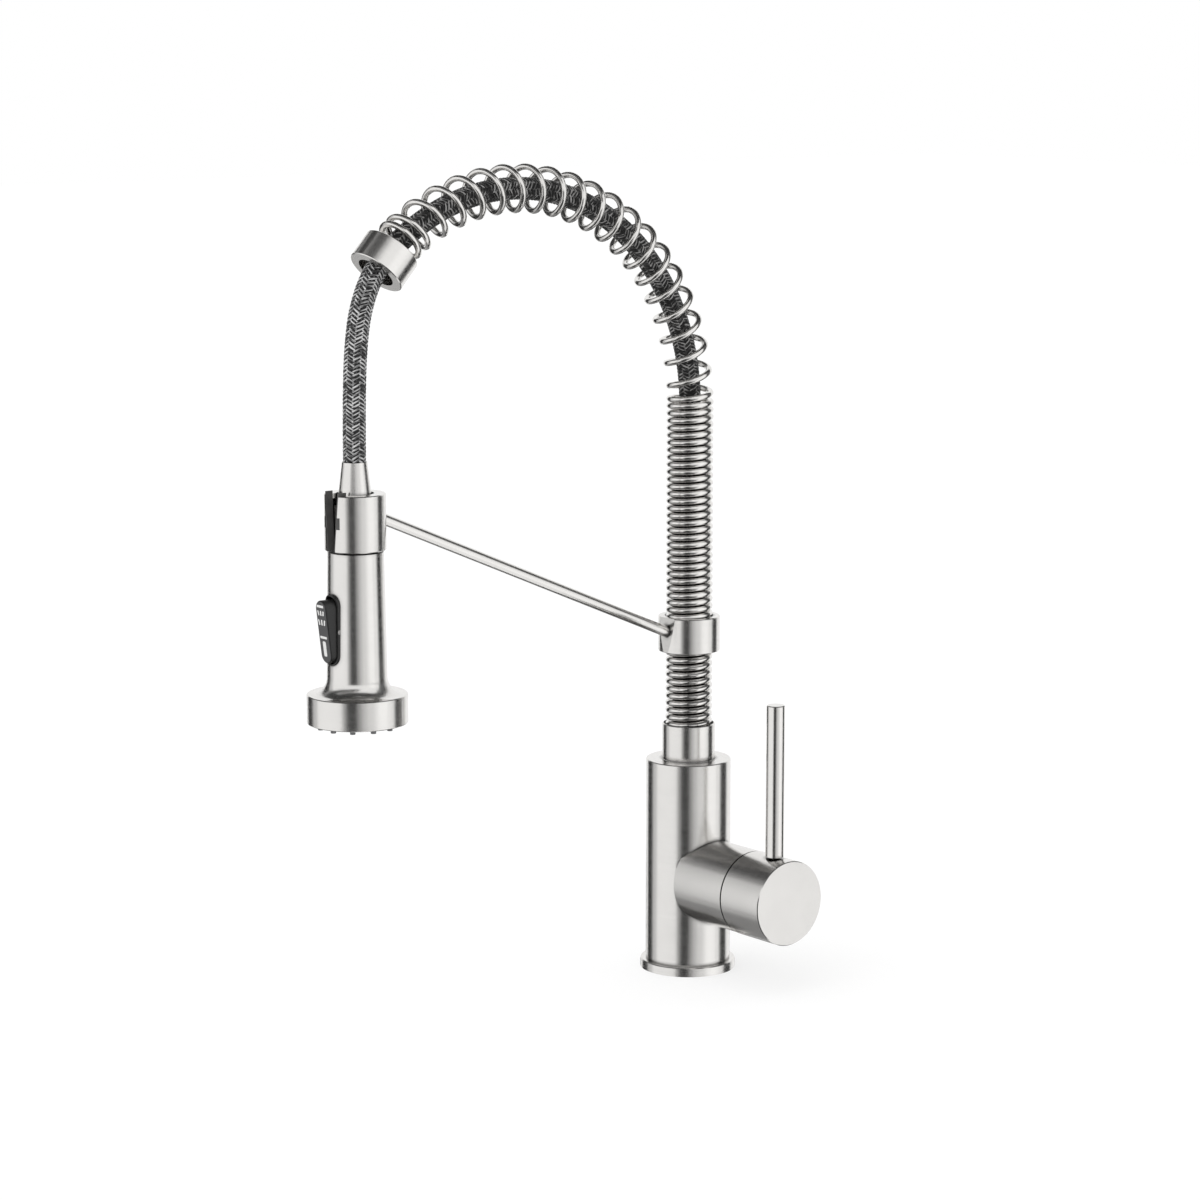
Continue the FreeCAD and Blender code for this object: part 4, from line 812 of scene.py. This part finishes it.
def add_world():
    world = bpy.data.worlds.new("studio")
    world.use_nodes = True
    tree = world.node_tree
    tree.nodes.clear()
    seen = add_node(tree, "ShaderNodeBackground")
    seen.inputs["Strength"].default_value = 1.0
    seen.inputs["Color"].default_value = (1, 1, 1, 1)
    light = add_node(tree, "ShaderNodeBackground")
    light.inputs["Strength"].default_value = WORLD_LIGHT
    light.inputs["Color"].default_value = (1, 1, 1, 1)
    mix = add_node(tree, "ShaderNodeMixShader")
    tree.links.new(add_shown_rays(tree), mix.inputs["Fac"])
    tree.links.new(light.outputs["Background"], mix.inputs[1])
    tree.links.new(seen.outputs["Background"], mix.inputs[2])
    output = add_node(tree, "ShaderNodeOutputWorld")
    tree.links.new(mix.outputs["Shader"], output.inputs["Surface"])
    scene.world = world


def add_sun():
    data = bpy.data.lights.new("soft_lamp", "SUN")
    data.energy = SUN_LIGHT
    data.angle = SUN_SPREAD
    lamp = bpy.data.objects.new("soft_lamp", data)
    lamp.rotation_euler = (SUN_TILT, 0, CAMERA_AZIMUTH - SUN_TURN)
    lamp.visible_glossy = False
    scene.collection.objects.link(lamp)


def add_floor():
    half = FLOOR_HALF
    corners = [(-half, -half, 0), (half, -half, 0), (half, half, 0), (-half, half, 0)]
    material = bpy.data.materials.new("floor")
    material.use_nodes = True
    tree = material.node_tree
    tree.nodes.clear()
    lit = add_node(tree, "ShaderNodeBsdfDiffuse")
    lit.inputs["Color"].default_value = (FLOOR_WHITE, FLOOR_WHITE, FLOOR_WHITE, 1)
    shade = add_node(tree, "ShaderNodeBsdfDiffuse")
    shade.inputs["Color"].default_value = (FLOOR_SHADE, FLOOR_SHADE, FLOOR_SHADE, 1)
    glow = add_node(tree, "ShaderNodeEmission")
    glow.inputs["Strength"].default_value = FLOOR_GLOW
    seen = add_node(tree, "ShaderNodeAddShader")
    tree.links.new(shade.outputs["BSDF"], seen.inputs[0])
    tree.links.new(glow.outputs["Emission"], seen.inputs[1])
    mix = add_node(tree, "ShaderNodeMixShader")
    tree.links.new(add_shown_rays(tree), mix.inputs["Fac"])
    tree.links.new(lit.outputs["BSDF"], mix.inputs[1])
    tree.links.new(seen.outputs["Shader"], mix.inputs[2])
    output = add_node(tree, "ShaderNodeOutputMaterial")
    tree.links.new(mix.outputs["Shader"], output.inputs["Surface"])
    floor = new_piece("floor", corners, [(0, 1, 2, 3)], [material])
    floor.visible_glossy = False


def toward(azimuth, elevation):
    """A direction by its angle to the right of the camera, seen from the object, and its elevation."""
    azimuth += CAMERA_AZIMUTH - math.pi / 2
    flat = math.cos(elevation)
    return Vector((math.cos(azimuth) * flat, math.sin(azimuth) * flat, math.sin(elevation)))


def add_flag(name, tone, grid, from_below=False):
    """A sheet of one tone through a grid of points, seen by reflections only, and from below only if asked."""
    columns = len(grid[0])
    corners = [corner for row in grid for corner in row]
    faces = []
    for i in range(len(grid) - 1):
        for k in range(columns - 1):
            a = i * columns + k
            faces.append((a, a + 1, a + 1 + columns, a + columns))
    material = bpy.data.materials.new(name)
    material.use_nodes = True
    tree = material.node_tree
    tree.nodes.clear()
    emission = add_node(tree, "ShaderNodeEmission")
    emission.inputs["Color"].default_value = (tone, tone, tone, 1)
    surface = emission.outputs["Emission"]
    if from_below:
        geometry = add_node(tree, "ShaderNodeNewGeometry")
        clear = add_node(tree, "ShaderNodeBsdfTransparent")
        mix = add_node(tree, "ShaderNodeMixShader")
        tree.links.new(geometry.outputs["Backfacing"], mix.inputs["Fac"])
        tree.links.new(clear.outputs["BSDF"], mix.inputs[1])
        tree.links.new(surface, mix.inputs[2])
        surface = mix.outputs["Shader"]
    output = add_node(tree, "ShaderNodeOutputMaterial")
    tree.links.new(surface, output.inputs["Surface"])
    flag = new_piece(name, corners, faces, [material])
    flag.visible_camera = False
    flag.visible_diffuse = False
    flag.visible_shadow = False
    flag.visible_transmission = False


def sheet_flag(name, tone, distance, left, right, low, high):
    """A flag between two angles to the right of the camera and two elevations."""
    columns = math.ceil((right - left) / FLAG_STEP)
    rows = math.ceil((high - low) / FLAG_STEP)
    azimuths = [math.radians(left + (right - left) * k / columns) for k in range(columns + 1)]
    elevations = [math.radians(low + (high - low) * k / rows) for k in range(rows + 1)]
    grid = [[STUDIO_MIDDLE + toward(a, e) * distance for a in azimuths] for e in elevations]
    add_flag(name, tone, grid)


def ring_flag(name, tone, distance, centre, inner, outer):
    """A round flag with a hole, centred on an angle to the right of the camera."""
    axis = toward(math.radians(centre), 0)
    start = axis.cross(Vector((0, 0, 1)))
    grid = []
    for polar in (inner, (inner + outer) / 2, outer):
        tipped = Matrix.Rotation(math.radians(polar), 3, start) @ axis
        turns = [Matrix.Rotation(2 * math.pi * k / RING_STEPS, 3, axis) for k in range(RING_STEPS + 1)]
        grid.append([STUDIO_MIDDLE + turn @ tipped * distance for turn in turns])
    add_flag(name, tone, grid)


def handle_flag():
    """A level sheet above the lever that keeps the top of the side boss dark."""
    above = Vector((0, 0, HANDLE_FLAG_HEIGHT))
    left, right = HANDLE_FLAG_SPAN
    steps = HANDLE_FLAG_STEPS
    azimuths = [math.radians(left + (right - left) * k / steps) for k in range(steps + 1)]
    grid = [[above + toward(a, 0) * reach for a in azimuths] for reach in reversed(HANDLE_FLAG_REACH)]
    add_flag("handle_flag", HANDLE_FLAG_TONE, grid, from_below=True)


add_world()
add_sun()
add_floor()
for flag_sizes in FLAGS:
    sheet_flag(*flag_sizes)
ring_flag(*BACK_FLAG)
handle_flag()
